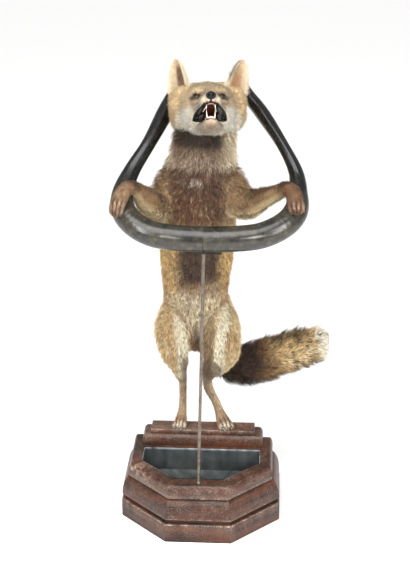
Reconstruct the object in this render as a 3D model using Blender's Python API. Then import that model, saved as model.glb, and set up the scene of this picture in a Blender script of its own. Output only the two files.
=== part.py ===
"""Red fox mounted upright on its hind legs as a stick stand, life size.

The fox stands on the back step of a stepped hardwood base with a zinc drip tray. Its forepaws grip
a ring made of two buffalo horns, and a thin steel rod from the base carries the front of the ring.
X runs to the viewer's right, Y to the back, Z up. The fox faces -Y, so its own right side is at -X.
The origin is on the underside of the base, under the middle of its flat back's width.
"""

import math

import bmesh
import bpy
import numpy as np
from mathutils import Matrix, Vector
from mathutils.bvhtree import BVHTree

# Driving dimensions, in metres
GAP = 0.0003  # clearance between touching pieces
BACK_Y = 0.030  # flat back of the base
PLINTH_HALF = 0.173
PLINTH_FRONT = -0.203
PLINTH_FACET = 0.0705  # half width of the front facet
PLINTH_TOP = 0.042
BODY_TOP = 0.100
RIM_TOP = 0.132
RIM_HALF = 0.156
RIM_FRONT = -0.197
RIM_FACET = 0.064
TRAY_HALF = 0.129
TRAY_FRONT = -0.163
TRAY_FACET = 0.054
TRAY_BACK = -0.028
TRAY_FLOOR = 0.076
TRAY_WALL = 0.0016
STEP_HALF = 0.1335
STEP_FRONT = -0.019
STEP_TOP = 0.158
BLOCK_HALF = 0.115
BLOCK_FRONT = -0.012
BLOCK_TOP = 0.168
ROD_RADIUS = 0.0033
ROD_FOOT = Vector((0.0, -0.1815, RIM_TOP + GAP))
RING_FRONT = Vector((0.012, -0.200, 0.688))  # where the two horn bases meet
HORN_RADIUS = 0.0262
SEAM_LAP = 0.010  # each horn is made this far past the seam, then cut there
PLATE_LENGTH, PLATE_DEPTH, PLATE_THICK = 0.072, 0.014, 0.003

HEAD_ORIGIN = Vector((0.0115, -0.010, 0.900))
HEAD_PITCH = math.radians(28.0)  # thrown back from level
HEAD_YAW = math.radians(5.5)  # turned to the viewer's right
EYE_RADIUS = 0.0092
EYE_PLACE = (0.0236, 0.0510, 0.0066)  # across, forward and up from the head's origin

BODY_VOXEL, BODY_FACES = 0.004, 3150
HEAD_VOXEL, HEAD_FACES = 0.0026, 1350

# Trunk from the rump to the top of the neck: x, y, z, half width, half depth, out to the coat's tips
TRUNK = (
    (-0.014, 0.047, 0.374, 0.046, 0.038),
    (-0.0145, 0.044, 0.420, 0.0760, 0.066),
    (-0.0172, 0.038, 0.476, 0.0710, 0.061),
    (-0.0165, 0.031, 0.530, 0.0745, 0.065),
    (-0.0140, 0.019, 0.580, 0.0790, 0.073),
    (-0.011, 0.012, 0.640, 0.0795, 0.079),
    (-0.009, 0.006, 0.700, 0.082, 0.083),
    (-0.0069, 0.004, 0.738, 0.083, 0.079),
    (-0.0042, 0.004, 0.762, 0.077, 0.075),
    (0.0000, 0.005, 0.785, 0.0715, 0.071),
    (0.0015, 0.008, 0.812, 0.0680, 0.068),
    (0.006, 0.012, 0.842, 0.064, 0.062),
    (0.009, 0.018, 0.875, 0.056, 0.054),
)

# Hind legs from the hip to the toes, for the fox's right leg and its left one
HIND_LEGS = {
    "right": (
        (-0.050, 0.050, 0.450, 0.036, 0.044),
        (-0.060, 0.016, 0.404, 0.046, 0.060),
        (-0.064, 0.000, 0.365, 0.038, 0.048),
        (-0.062, 0.002, 0.343, 0.030, 0.038),
        (-0.0555, 0.012, 0.322, 0.0215, 0.030),
        (-0.053, 0.030, 0.295, 0.0145, 0.023),
        (-0.0490, 0.052, 0.268, 0.0108, 0.018),
        (-0.0480, 0.055, 0.240, 0.0095, 0.0135),
        (-0.0480, 0.049, 0.208, 0.0095, 0.0118),
        (-0.0490, 0.036, 0.184, 0.0115, 0.0120),
        (-0.0505, 0.012, 0.1765, 0.0145, 0.0125),
        (-0.0520, -0.006, 0.1755, 0.0135, 0.0100),
    ),
    "left": (
        (0.022, 0.050, 0.450, 0.036, 0.044),
        (0.034, 0.016, 0.404, 0.046, 0.060),
        (0.040, 0.000, 0.365, 0.041, 0.048),
        (0.035, 0.002, 0.343, 0.036, 0.038),
        (0.026, 0.012, 0.322, 0.0265, 0.030),
        (0.0125, 0.030, 0.295, 0.0165, 0.023),
        (0.0075, 0.052, 0.268, 0.0125, 0.018),
        (0.0100, 0.055, 0.240, 0.0115, 0.0140),
        (0.0265, 0.049, 0.208, 0.0105, 0.0120),
        (0.0375, 0.036, 0.184, 0.0125, 0.0125),
        (0.0465, 0.012, 0.1765, 0.0175, 0.0130),
        (0.0520, -0.006, 0.1755, 0.0160, 0.0100),
    ),
}

# Forelegs from the shoulder to the toes that hook over the horn
FORE_LEGS = {
    "right": (
        (-0.055, 0.000, 0.735, 0.042, 0.044),
        (-0.078, -0.028, 0.708, 0.036, 0.036),
        (-0.092, -0.058, 0.705, 0.030, 0.031),
        (-0.107, -0.087, 0.729, 0.025, 0.0255),
        (-0.121, -0.110, 0.752, 0.0185, 0.018),
        (-0.134, -0.133, 0.770, 0.0160, 0.0140),
        (-0.147, -0.154, 0.766, 0.0165, 0.0135),
        (-0.157, -0.171, 0.748, 0.0155, 0.0120),
        (-0.160, -0.176, 0.732, 0.0120, 0.0090),
    ),
    "left": (
        (0.045, 0.000, 0.740, 0.042, 0.044),
        (0.070, -0.025, 0.715, 0.036, 0.036),
        (0.095, -0.050, 0.712, 0.028, 0.030),
        (0.128, -0.078, 0.735, 0.0205, 0.022),
        (0.155, -0.104, 0.755, 0.0165, 0.0165),
        (0.172, -0.130, 0.772, 0.0160, 0.0145),
        (0.184, -0.152, 0.767, 0.0170, 0.0135),
        (0.190, -0.169, 0.750, 0.0165, 0.012),
        (0.191, -0.175, 0.743, 0.013, 0.0095),
    ),
}

TAIL = (
    (-0.012, 0.070, 0.425, 0.026, 0.026),
    (-0.004, 0.111, 0.389, 0.028, 0.028),
    (0.010, 0.134, 0.347, 0.031, 0.031),
    (0.034, 0.132, 0.303, 0.036, 0.036),
    (0.066, 0.121, 0.272, 0.0425, 0.0425),
    (0.115, 0.115, 0.278, 0.0445, 0.0445),
    (0.165, 0.115, 0.297, 0.043, 0.043),
    (0.215, 0.115, 0.316, 0.040, 0.040),
    (0.246, 0.115, 0.326, 0.0355, 0.0355),
)

# Horns from the seam at the front, round the side and up behind the head
HORN_SPREAD = {"right": 0.164, "left": 0.180}  # from the seam out to the widest point
HORN_UPPER = {"right": 0.0185, "left": 0.0155}  # radius above the waist
HORN_REACH, HORN_RISE = 0.310, 0.236
# how far out as shares of the spread, for the right horn and for the left one, which bows out further,
# then shares of the reach, the rise, the base radius and the upper radius, the same for both
HORN_ROUTE = (
    (0.32, 0.32, 0.00, 0.01, 1.00, 0.00),
    (0.62, 0.62, 0.03, 0.03, 1.00, 0.00),
    (0.86, 0.86, 0.10, 0.09, 1.00, 0.00),
    (0.99, 0.99, 0.19, 0.17, 0.96, 0.00),
    (1.00, 1.01, 0.28, 0.28, 0.65, 0.28),
    (0.91, 0.99, 0.40, 0.42, 0.25, 0.58),
    (0.73, 0.84, 0.55, 0.60, 0.00, 0.82),
    (0.56, 0.61, 0.77, 0.79, 0.00, 1.00),
    (0.45, 0.43, 0.91, 0.92, 0.00, 0.90),
    (0.43, 0.36, 1.00, 1.00, 0.00, 0.62),
)

# Head along its own axis: forward, up, half width, half height
SKULL = (
    (-0.062, -0.002, 0.042, 0.038),
    (-0.040, 0.004, 0.060, 0.049),
    (-0.015, 0.004, 0.068, 0.0510),
    (0.010, 0.002, 0.062, 0.0490),
    (0.030, -0.001, 0.050, 0.0410),
    (0.046, -0.006, 0.038, 0.0310),
    (0.062, -0.0085, 0.029, 0.0235),
    (0.082, -0.0085, 0.0225, 0.0185),
    (0.105, -0.0085, 0.0180, 0.0155),
    (0.121, -0.0085, 0.0140, 0.0130),
)
JAW = (
    (-0.020, -0.038, 0.043, 0.020),
    (0.020, -0.0510, 0.034, 0.0200),
    (0.050, -0.0555, 0.026, 0.0170),
    (0.080, -0.0560, 0.0185, 0.0145),
    (0.104, -0.0530, 0.0140, 0.0120),
)
NECK_CUT = 0.834  # heights of the partings between head, neck, chest, belly and hips
CHEST_TOP, CHEST_BOTTOM, BELLY_BOTTOM = 0.772, 0.622, 0.468
EARS = {
    "right": ((-0.0455, 0.004, 0.915), (-0.0560, 0.026, 0.9960), -0.45),
    "left": ((0.0640, 0.004, 0.919), (0.0795, 0.026, 0.9960), 0.45),
}
EAR_HALF_WIDTH, EAR_CUP, EAR_THICK = 0.0248, 0.015, 0.0065


def clear_scene():
    for obj in list(bpy.data.objects):
        bpy.data.objects.remove(obj, do_unlink=True)


def material(name, colour, roughness, metallic=0.0):
    mat = bpy.data.materials.new(name)
    mat.use_nodes = True
    shader = mat.node_tree.nodes["Principled BSDF"]
    shader.inputs["Base Color"].default_value = (*colour, 1.0)
    shader.inputs["Roughness"].default_value = roughness
    shader.inputs["Metallic"].default_value = metallic
    return mat


def mesh_from(bm, name="shape"):
    """Turns a bmesh into a mesh with its faces pointing out."""
    bmesh.ops.recalc_face_normals(bm, faces=bm.faces)
    mesh = bpy.data.meshes.new(name)
    bm.to_mesh(mesh)
    bm.free()
    return mesh


def place(name, mesh, mat, smooth_angle=35.0):
    """Adds a mesh to the scene as a named sub-part."""
    mesh.materials.clear()
    mesh.materials.append(mat)
    mesh.shade_smooth()
    mesh.set_sharp_from_angle(angle=math.radians(smooth_angle))
    obj = bpy.data.objects.new(name, mesh)
    bpy.context.scene.collection.objects.link(obj)
    return obj


def applied(mesh, *modifiers):
    """Returns a mesh after modifiers, each given as its type and a dict of settings."""
    obj = bpy.data.objects.new("worked", mesh)
    bpy.context.scene.collection.objects.link(obj)
    for kind, settings in modifiers:
        modifier = obj.modifiers.new(kind.lower(), kind)
        for key, value in settings.items():
            setattr(modifier, key, value)
    evaluated = obj.evaluated_get(bpy.context.evaluated_depsgraph_get())
    result = bpy.data.meshes.new_from_object(evaluated)
    bpy.data.objects.remove(obj, do_unlink=True)
    return result


def cut_away(mesh, cutter):
    """Subtracts one closed mesh from another."""
    tool = bpy.data.objects.new("cutter", cutter)
    bpy.context.scene.collection.objects.link(tool)
    tool.hide_render = True
    tool.display_type = "WIRE"
    result = applied(mesh, ("BOOLEAN", {"object": tool, "operation": "DIFFERENCE"}))
    bpy.data.objects.remove(tool, do_unlink=True)
    return result


def joined(*meshes):
    """Puts several closed meshes into one, still overlapping."""
    bm = bmesh.new()
    for mesh in meshes:
        bm.from_mesh(mesh)
    return mesh_from(bm)


def inflated(mesh, distance):
    """A copy of a mesh with each vertex moved out along its normal."""
    bm = bmesh.new()
    bm.from_mesh(mesh)
    bm.normal_update()
    moved = [(vert, vert.co + vert.normal * distance) for vert in bm.verts]
    for vert, place_to in moved:
        vert.co = place_to
    return mesh_from(bm)


def half(mesh, point, normal):
    """The part of a mesh in front of a plane, closed with a flat face."""
    bm = bmesh.new()
    bm.from_mesh(mesh)
    geometry = bm.verts[:] + bm.edges[:] + bm.faces[:]
    bmesh.ops.bisect_plane(bm, geom=geometry, plane_co=point, plane_no=normal, clear_inner=True)
    rim = [edge for edge in bm.edges if edge.is_boundary]
    bmesh.ops.holes_fill(bm, edges=rim, sides=0)
    bmesh.ops.triangulate(bm, faces=[face for face in bm.faces if len(face.verts) > 4])
    return mesh_from(bm)


def parted(mesh, point, normal):
    """Parts a mesh at a plane into the piece in front of it and the piece behind, a gap apart."""
    normal = Vector(normal).normalized()
    point = Vector(point)
    return half(mesh, point + normal * GAP / 2, normal), half(mesh, point - normal * GAP / 2, -normal)


def sliced(mesh, slices):
    """Cuts a mesh through with thin round slots, each given as its centre, its normal and its radius."""
    for centre, normal, radius in slices:
        across = Vector(normal).normalized() * GAP / 2
        mesh = cut_away(mesh, straight_bar(Vector(centre) - across, Vector(centre) + across, radius))
    return mesh


def pieces(mesh, seeds):
    """Takes the separate bodies of a mesh, each named by a point inside it."""
    bm = bmesh.new()
    bm.from_mesh(mesh)
    bm.faces.ensure_lookup_table()
    labels = [-1] * len(bm.faces)
    for start in bm.faces:
        if labels[start.index] >= 0:
            continue
        labels[start.index] = start.index
        stack = [start]
        while stack:
            for edge in stack.pop().edges:
                for face in edge.link_faces:
                    if labels[face.index] < 0:
                        labels[face.index] = start.index
                        stack.append(face)
    tree = BVHTree.FromBMesh(bm)
    found = {}
    for name, seed in seeds.items():
        label = labels[tree.find_nearest(Vector(seed))[2]]
        copy = bm.copy()
        copy.faces.ensure_lookup_table()
        others = [face for face in copy.faces if labels[face.index] != label]
        bmesh.ops.delete(copy, geom=others, context="FACES")
        found[name] = mesh_from(copy)
    bm.free()
    return found


def smooth_rows(rows, count):
    """Reads evenly spaced rows from a Catmull-Rom curve through the given ones."""
    rows = np.array(rows)
    padded = np.vstack([2 * rows[0] - rows[1], rows, 2 * rows[-1] - rows[-2]])
    result = []
    for place_on in np.linspace(0, len(rows) - 1, count):
        first = min(int(place_on), len(rows) - 2)
        t = place_on - first
        p0, p1, p2, p3 = padded[first : first + 4]
        curve = 2 * p1 + (p2 - p0) * t + (2 * p0 - 5 * p1 + 4 * p2 - p3) * t**2
        result.append((curve + (3 * p1 - p0 - 3 * p2 + p3) * t**3) / 2)
    return result


def loft(rows, sides, count, across=(1, 0, 0)):
    """A closed round-ended tube through rows of x, y, z, half width and half depth."""
    rows = smooth_rows(rows, count)
    centres = [Vector(row[:3]) for row in rows]
    bm = bmesh.new()
    rings = []
    for index, row in enumerate(rows):
        before, after = centres[max(index - 1, 0)], centres[min(index + 1, len(rows) - 1)]
        along = (after - before).normalized()
        side = (Vector(across) - along * along.dot(Vector(across))).normalized()
        front = along.cross(side)
        ring = []
        for step in range(sides):
            angle = 2 * math.pi * step / sides
            offset = side * (row[3] * math.cos(angle)) + front * (row[-1] * math.sin(angle))
            ring.append(bm.verts.new(centres[index] + offset))
        rings.append(ring)
    for lower, upper in zip(rings, rings[1:]):
        for step in range(sides):
            after = (step + 1) % sides
            bm.faces.new((lower[step], lower[after], upper[after], upper[step]))
    for end, inner in ((0, 1), (-1, -2)):
        outward = (centres[end] - centres[inner]).normalized()
        small = min(rows[end][3], rows[end][-1])
        cap = [bm.verts.new(centres[end] + (v.co - centres[end]) * 0.7 + outward * small * 0.7)
               for v in rings[end]]
        pole = bm.verts.new(centres[end] + outward * small)
        for step in range(sides):
            after = (step + 1) % sides
            bm.faces.new((rings[end][step], rings[end][after], cap[after], cap[step]))
            bm.faces.new((cap[step], cap[after], pole))
    bmesh.ops.triangulate(bm, faces=bm.faces, quad_method="FIXED")
    return mesh_from(bm)


def ellipsoid(centre, radii, segments=20, rings=12, turn=None):
    bm = bmesh.new()
    bmesh.ops.create_uvsphere(bm, u_segments=segments, v_segments=rings, radius=1.0)
    shape = Matrix.Diagonal((*radii, 1.0))
    matrix = Matrix.Translation(centre) @ (turn or Matrix()).to_4x4() @ shape
    bmesh.ops.transform(bm, matrix=matrix, verts=bm.verts)
    return mesh_from(bm)


# Stand


def bay_outline(half_width, front, facet, inset, back=BACK_Y):
    """A half octagon: straight back and sides, and a front facet between two 45 degree ones."""
    facet = facet - inset * math.tan(math.radians(22.5))
    half_width = half_width - inset
    front = front + inset
    shoulder = front + half_width - facet
    side = [(half_width, back), (half_width, shoulder), (facet, front)]
    return side + [(-x, y) for x, y in reversed(side)]


def bay_stack(half_width, front, facet, profile, back=BACK_Y):
    """A moulded tier: the bay outline carried up a profile of heights and insets."""
    bm = bmesh.new()
    rings = []
    for height, inset in profile:
        outline = bay_outline(half_width, front, facet, inset, back)
        rings.append([bm.verts.new((x, y, height)) for x, y in outline])
    for lower, upper in zip(rings, rings[1:]):
        for step in range(len(lower)):
            after = (step + 1) % len(lower)
            bm.faces.new((lower[step], lower[after], upper[after], upper[step]))
    bm.faces.new(rings[0])
    bm.faces.new(rings[-1])
    return mesh_from(bm)


def quarter_round(bottom, top, outer, inner, steps=5):
    """Profile points that curve inward from the outer inset at the bottom to the inner at the top."""
    points = []
    for step in range(steps + 1):
        angle = math.pi / 2 * step / steps
        height = bottom + (top - bottom) * math.sin(angle)
        points.append((height, outer + (inner - outer) * (1 - math.cos(angle))))
    return points


def build_base(wood, zinc):
    plinth = [(0.0, 0.0), (PLINTH_TOP - 0.003, 0.0), (PLINTH_TOP, 0.003)]
    place("base_plinth", bay_stack(PLINTH_HALF, PLINTH_FRONT, PLINTH_FACET, plinth), wood)

    groove = [(PLINTH_TOP + GAP, 0.008), (PLINTH_TOP + 0.009, 0.008), (PLINTH_TOP + 0.010, 0.003)]
    body = groove + quarter_round(PLINTH_TOP + 0.014, BODY_TOP - GAP, 0.0015, 0.024)
    pocket = [(TRAY_FLOOR - 0.002, 0.0), (RIM_TOP + 0.01, 0.0)]
    cutter = bay_stack(TRAY_HALF, TRAY_FRONT, TRAY_FACET, pocket, back=TRAY_BACK)
    shape = cut_away(bay_stack(PLINTH_HALF, PLINTH_FRONT, PLINTH_FACET, body), cutter)
    place("base_body", shape, wood)

    rim = [(BODY_TOP, 0.004), (BODY_TOP + 0.003, 0.001)]
    rim += quarter_round(BODY_TOP + 0.012, RIM_TOP, 0.0, 0.007)
    shape = cut_away(bay_stack(RIM_HALF, RIM_FRONT, RIM_FACET, rim), cutter)
    place("base_top", shape, wood)

    walls = [(TRAY_FLOOR - 0.002 + GAP, GAP), (RIM_TOP - 0.001, GAP)]
    hollow = [(TRAY_FLOOR, TRAY_WALL), (RIM_TOP + 0.01, TRAY_WALL)]
    liner = bay_stack(TRAY_HALF, TRAY_FRONT, TRAY_FACET, walls, back=TRAY_BACK - GAP)
    inner = bay_stack(TRAY_HALF, TRAY_FRONT, TRAY_FACET, hollow, back=TRAY_BACK - TRAY_WALL)
    place("drip_tray", cut_away(liner, inner), zinc)

    def step_box(half_width, front, profile):
        bm = bmesh.new()
        rings = []
        for height, inset in profile:
            left, right = -half_width + inset, half_width - inset
            corners = ((left, front + inset), (right, front + inset), (right, BACK_Y), (left, BACK_Y))
            rings.append([bm.verts.new((x, y, height)) for x, y in corners])
        for lower, upper in zip(rings, rings[1:]):
            for step in range(4):
                after = (step + 1) % 4
                bm.faces.new((lower[step], lower[after], upper[after], upper[step]))
        bm.faces.new(rings[0])
        bm.faces.new(rings[-1])
        return mesh_from(bm)

    moulding = [(RIM_TOP + GAP, 0.0)] + quarter_round(RIM_TOP + 0.012, STEP_TOP, 0.0, 0.010)
    place("back_step", step_box(STEP_HALF, STEP_FRONT, moulding), wood)
    block = [(STEP_TOP + GAP, 0.0), (BLOCK_TOP - 0.0015, 0.0), (BLOCK_TOP, 0.0015)]
    place("step_block", step_box(BLOCK_HALF, BLOCK_FRONT, block), wood)


def straight_bar(start, end, radius, sides=12):
    """A round bar between two points, flat at both ends."""
    bm = bmesh.new()
    length = (end - start).length
    bmesh.ops.create_cone(bm, cap_ends=True, segments=sides, radius1=radius, radius2=radius, depth=length)
    turn = (end - start).to_track_quat("Z", "Y").to_matrix().to_4x4()
    bmesh.ops.transform(bm, matrix=Matrix.Translation((start + end) / 2) @ turn, verts=bm.verts)
    return mesh_from(bm)


def build_support(steel, iron):
    plate_top = RING_FRONT.z - HORN_RADIUS - 0.001
    centre = Vector((RING_FRONT.x, RING_FRONT.y + 0.004, plate_top - PLATE_THICK / 2))
    bm = bmesh.new()
    bmesh.ops.create_cube(bm, size=1.0)
    size = Matrix.Diagonal((PLATE_LENGTH, PLATE_DEPTH, PLATE_THICK, 1.0))
    bmesh.ops.transform(bm, matrix=Matrix.Translation(centre) @ size, verts=bm.verts)
    bmesh.ops.bevel(bm, geom=bm.edges[:], offset=0.0006, segments=1, affect="EDGES")
    place("ring_plate", mesh_from(bm), iron)
    top = centre - Vector((0, 0, PLATE_THICK / 2 + GAP + 0.0003))
    bar = straight_bar(ROD_FOOT - Vector((0, 0, 0.005)), top + Vector((0, 0, 0.005)), ROD_RADIUS)
    bar = half(half(bar, ROD_FOOT, Vector((0, 0, 1))), top, Vector((0, 0, -1)))
    place("support_rod", bar, steel)


def horn_rows(side):
    """Stations of one horn from the seam to the tip: x, y, z and radius."""
    sign = -1 if side == "right" else 1
    rows = [(RING_FRONT.x - sign * SEAM_LAP, RING_FRONT.y, RING_FRONT.z, HORN_RADIUS)]
    for out_right, out_left, back, up, base, upper in HORN_ROUTE:
        out = HORN_SPREAD[side] * (out_right if side == "right" else out_left)
        y, z = RING_FRONT.y + back * HORN_REACH, RING_FRONT.z + up * HORN_RISE
        rows.append((RING_FRONT.x + sign * out, y, z, base * HORN_RADIUS + upper * HORN_UPPER[side]))
    return rows


def horn_mesh(side, extra=0.0, sides=12, count=21):
    """One horn, thicker by an extra clearance where it is used as a cutter."""
    rows = [(*row[:3], row[3] + extra, row[3] + extra) for row in horn_rows(side)]
    return loft(rows, sides, count, across=(0, 1, 0.2))


def build_horns(horn):
    for side in HORN_SPREAD:
        sign = -1 if side == "right" else 1
        seam = Vector((RING_FRONT.x + sign * GAP / 2, 0, 0))
        place(f"horn_{side}", half(horn_mesh(side), seam, Vector((sign, 0, 0))), horn)


# Fox


def head_matrix():
    """From the head's own across, forward and up to the world."""
    turn = Matrix.Rotation(HEAD_YAW, 4, "Z") @ Matrix.Rotation(-HEAD_PITCH, 4, "X")
    axes = Matrix(((1, 0, 0, 0), (0, -1, 0, 0), (0, 0, 1, 0), (0, 0, 0, 1)))
    return Matrix.Translation(HEAD_ORIGIN) @ turn @ axes


def in_head(across, forward, up):
    return head_matrix() @ Vector((across, forward, up))


def head_loft(rows, sides=20, count=24):
    rows = [(*in_head(0, forward, up), wide, high) for forward, up, wide, high in rows]
    return loft(rows, sides, count, across=head_matrix().to_3x3() @ Vector((1, 0, 0)))


def head_parts():
    """The closed forms that make up the head with its open mouth."""
    turn = head_matrix().to_3x3().normalized()
    parts = [head_loft(SKULL), head_loft(JAW)]
    forms = (
        ((0.041, -0.018, -0.010), (0.0385, 0.042, 0.047)),  # cheek ruff
        ((0.028, 0.010, -0.014), (0.029, 0.036, 0.036)),  # cheek in front of it
        ((0.050, -0.014, 0.018), (0.027, 0.026, 0.028)),  # root of the ear
        ((0.013, 0.098, -0.0125), (0.0095, 0.026, 0.0110)),  # whisker pad
        ((0.019, 0.022, 0.022), (0.017, 0.022, 0.015)),  # brow
        ((0.030, -0.014, 0.032), (0.024, 0.026, 0.0215)),  # crown beside the ear
    )
    for (across, forward, up), radii in forms:
        for sign in (-1, 1):
            centre = in_head(sign * across, forward, up)
            parts.append(ellipsoid(centre, radii, 16, 10, turn))
    parts.append(ellipsoid(in_head(0, -0.020, -0.019), (0.062, 0.048, 0.037), 20, 12, turn))
    parts.append(ellipsoid(in_head(0, 0.1240, -0.0055), (0.0112, 0.0085, 0.0095), 14, 10, turn))
    return parts


def ear_mesh(base, tip, lean):
    """A cupped, pointed ear that opens to the front, with its back joined to the head."""
    base, tip = Vector(base), Vector(tip)
    rise = tip - base
    across = Vector((1, 0, 0)) - rise.normalized() * rise.normalized().x
    across = (across.normalized() + Vector((0, lean, 0))).normalized()
    back = across.cross(rise).normalized()
    if back.y < 0:
        back = -back
    columns, levels = 7, 8
    bm = bmesh.new()
    faces = []
    for shift in (0.0, EAR_THICK):
        grid = []
        for level in range(levels):
            height = level / (levels - 1)
            wide = EAR_HALF_WIDTH * (1 - height**1.9) ** 0.75 + 0.0015
            row = []
            for column in range(columns):
                u = 2 * column / (columns - 1) - 1
                cup = EAR_CUP * (1 - u * u) * (1 - height) ** 0.7
                edge = shift * (1 - 0.45 * u * u) * (1 - 0.45 * height)
                place_to = base + rise * height + across * (wide * u) + back * (cup + edge)
                row.append(bm.verts.new(place_to))
            grid.append(row)
        faces.append(grid)
    for grid in faces:
        for low, high in zip(grid, grid[1:]):
            for c in range(columns - 1):
                bm.faces.new((low[c], low[c + 1], high[c + 1], high[c]))
    inner, outer = faces
    rims = [[row[0] for row in grid] + grid[-1][1:] + [row[-1] for row in grid[-2::-1]] + grid[0][-2:0:-1]
            for grid in (inner, outer)]
    for step in range(len(rims[0])):
        after = (step + 1) % len(rims[0])
        bm.faces.new((rims[0][step], rims[0][after], rims[1][after], rims[1][step]))
    return mesh_from(bm)


def fused(parts, voxel, faces, smoothing):
    """Unites closed forms into one skin, smooths where they meet and thins the triangles."""
    remesh = ("REMESH", {"mode": "VOXEL", "voxel_size": voxel})
    soften = ("SMOOTH", {"factor": 0.5, "iterations": smoothing})
    skin = applied(joined(*parts), remesh, soften, ("TRIANGULATE", {}))
    ratio = faces / len(skin.polygons)
    return applied(skin, ("DECIMATE", {"ratio": ratio, "use_collapse_triangulate": True}))


def build_head(coat, skin, glass):
    turn = head_matrix().to_3x3()
    skull = fused([loft(TRUNK, 32, 40), *head_parts()], HEAD_VOXEL, HEAD_FACES, 6)
    skull = half(skull, Vector((0, 0, NECK_CUT + GAP / 2)), Vector((0, 0, 1)))
    for sign, side in ((-1, "right"), (1, "left")):
        across, forward, up = EYE_PLACE
        centre = in_head(sign * across, forward, up)
        socket = ellipsoid(centre, [EYE_RADIUS + GAP] * 3, 12, 7, turn.normalized())
        eye = ellipsoid(centre, [EYE_RADIUS] * 3, 12, 7, turn.normalized())
        place(f"eye_{side}", eye, glass, 80.0)
        ear = cut_away(ear_mesh(*EARS[side]), inflated(skull, GAP))
        ear = pieces(ear, {"ear": EARS[side][1]})["ear"]
        place(f"ear_{side}", ear, coat)
        skull = cut_away(skull, socket)
    slices = (
        (in_head(0, 0.1205, -0.004), turn @ Vector((0, 1, 0.35)), 0.020),  # nose
        (in_head(0, 0.052, -0.0565), turn @ Vector((0, 1, -0.25)), 0.0275),  # lower jaw
    )
    seeds = {
        "nose": in_head(0, 0.128, -0.006),
        "lower_jaw": in_head(0, 0.080, -0.055),
        "head": in_head(0, 0, 0.020),
    }
    for name, piece in pieces(sliced(skull, slices), seeds).items():
        place(name, piece, skin if name == "nose" else coat)


def build_body(coat):
    legs = [loft(rows, 16, 40) for rows in (*HIND_LEGS.values(), *FORE_LEGS.values())]
    body = fused([loft(TRUNK, 32, 40), loft(TAIL, 20, 36), *legs], BODY_VOXEL, BODY_FACES, 4)
    body = half(body, Vector((0, 0, NECK_CUT - GAP / 2)), Vector((0, 0, -1)))
    body = half(body, Vector((0, 0, BLOCK_TOP + GAP)), Vector((0, 0, 1)))
    made = {}
    neck_slot = ((-0.002, 0.005, CHEST_TOP), (0, 0, 1), 0.092)
    parts = pieces(sliced(body, [neck_slot]), {"neck": (0.002, 0.008, NECK_CUT), "rest": TRUNK[6][:3]})
    made["neck"] = parts["neck"]
    chest, body = parted(parts["rest"], (0, 0, CHEST_BOTTOM), (0, 0, 1))
    made["belly"], hind = parted(body, (0, 0, BELLY_BOTTOM), (0, 0, 1))

    for sign, side in ((-1, "right"), (1, "left")):
        rows = FORE_LEGS[side]
        limb, chest = parted(chest, Vector(rows[1][:3]) - Vector((sign * 0.008, 0, 0)), (sign, -0.6, 0))
        elbow = (Vector(rows[2][:3]) + Vector(rows[3][:3])) / 2
        limb, made[f"upper_arm_{side}"] = parted(limb, elbow, (sign * 0.6, -0.6, 0.35))
        paw, forearm = parted(limb, rows[4][:3], Vector(rows[5][:3]) - Vector(rows[3][:3]))
        clearance = horn_mesh(side, extra=GAP * 1.3)
        made[f"forearm_{side}"] = cut_away(forearm, clearance)
        made[f"forepaw_{side}"] = cut_away(paw, clearance)
    made["chest"] = chest

    tail_slot = (TAIL[2][:3], (0.35, 0.2, -0.9), 0.047)
    parts = pieces(sliced(hind, [tail_slot]), {"tail": TAIL[4][:3], "hind": HIND_LEGS["left"][1][:3]})
    tail, made["tail_root"] = parted(parts["tail"], TAIL[4][:3], (0.9, -0.1, -0.1))
    made["tail_end"], made["tail_middle"] = parted(tail, TAIL[6][:3], (0.93, 0, 0.36))
    leg_left, leg_right = parted(parts["hind"], (-0.0140, 0, 0), (1, 0, 0))
    for side, leg in (("right", leg_right), ("left", leg_left)):
        rows = HIND_LEGS[side]
        leg, made[f"thigh_{side}"] = parted(leg, rows[4][:3], (0, 0.05, -1))
        made[f"hind_foot_{side}"], made[f"shank_{side}"] = parted(leg, rows[6][:3], (0, 0.1, -1))
    for name, piece in made.items():
        place(name, piece, coat)


def main():
    clear_scene()
    wood = material("mahogany", (0.16, 0.06, 0.035), 0.4)
    zinc = material("zinc", (0.22, 0.24, 0.23), 0.45, 0.8)
    steel = material("steel", (0.30, 0.28, 0.25), 0.35, 1.0)
    iron = material("black_iron", (0.02, 0.02, 0.02), 0.5, 0.6)
    horn = material("buffalo_horn", (0.05, 0.05, 0.045), 0.28)
    coat = material("fox_coat", (0.36, 0.22, 0.11), 0.8)
    skin = material("nose_skin", (0.02, 0.02, 0.022), 0.45)
    glass = material("eye_glass", (0.05, 0.035, 0.02), 0.1)
    build_base(wood, zinc)
    build_support(steel, iron)
    build_horns(horn)
    build_head(coat, skin, glass)
    build_body(coat)


main()
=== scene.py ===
"""Looks of the red fox stick stand: skin, coat, mouth, eyes, claws, horns and worn hardwood base.

X runs to the viewer's right, Y to the back, Z up, in metres. The fox faces -Y.
"""

import math

import bmesh
import bpy
import numpy as np
from mathutils import Matrix, Vector


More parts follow.
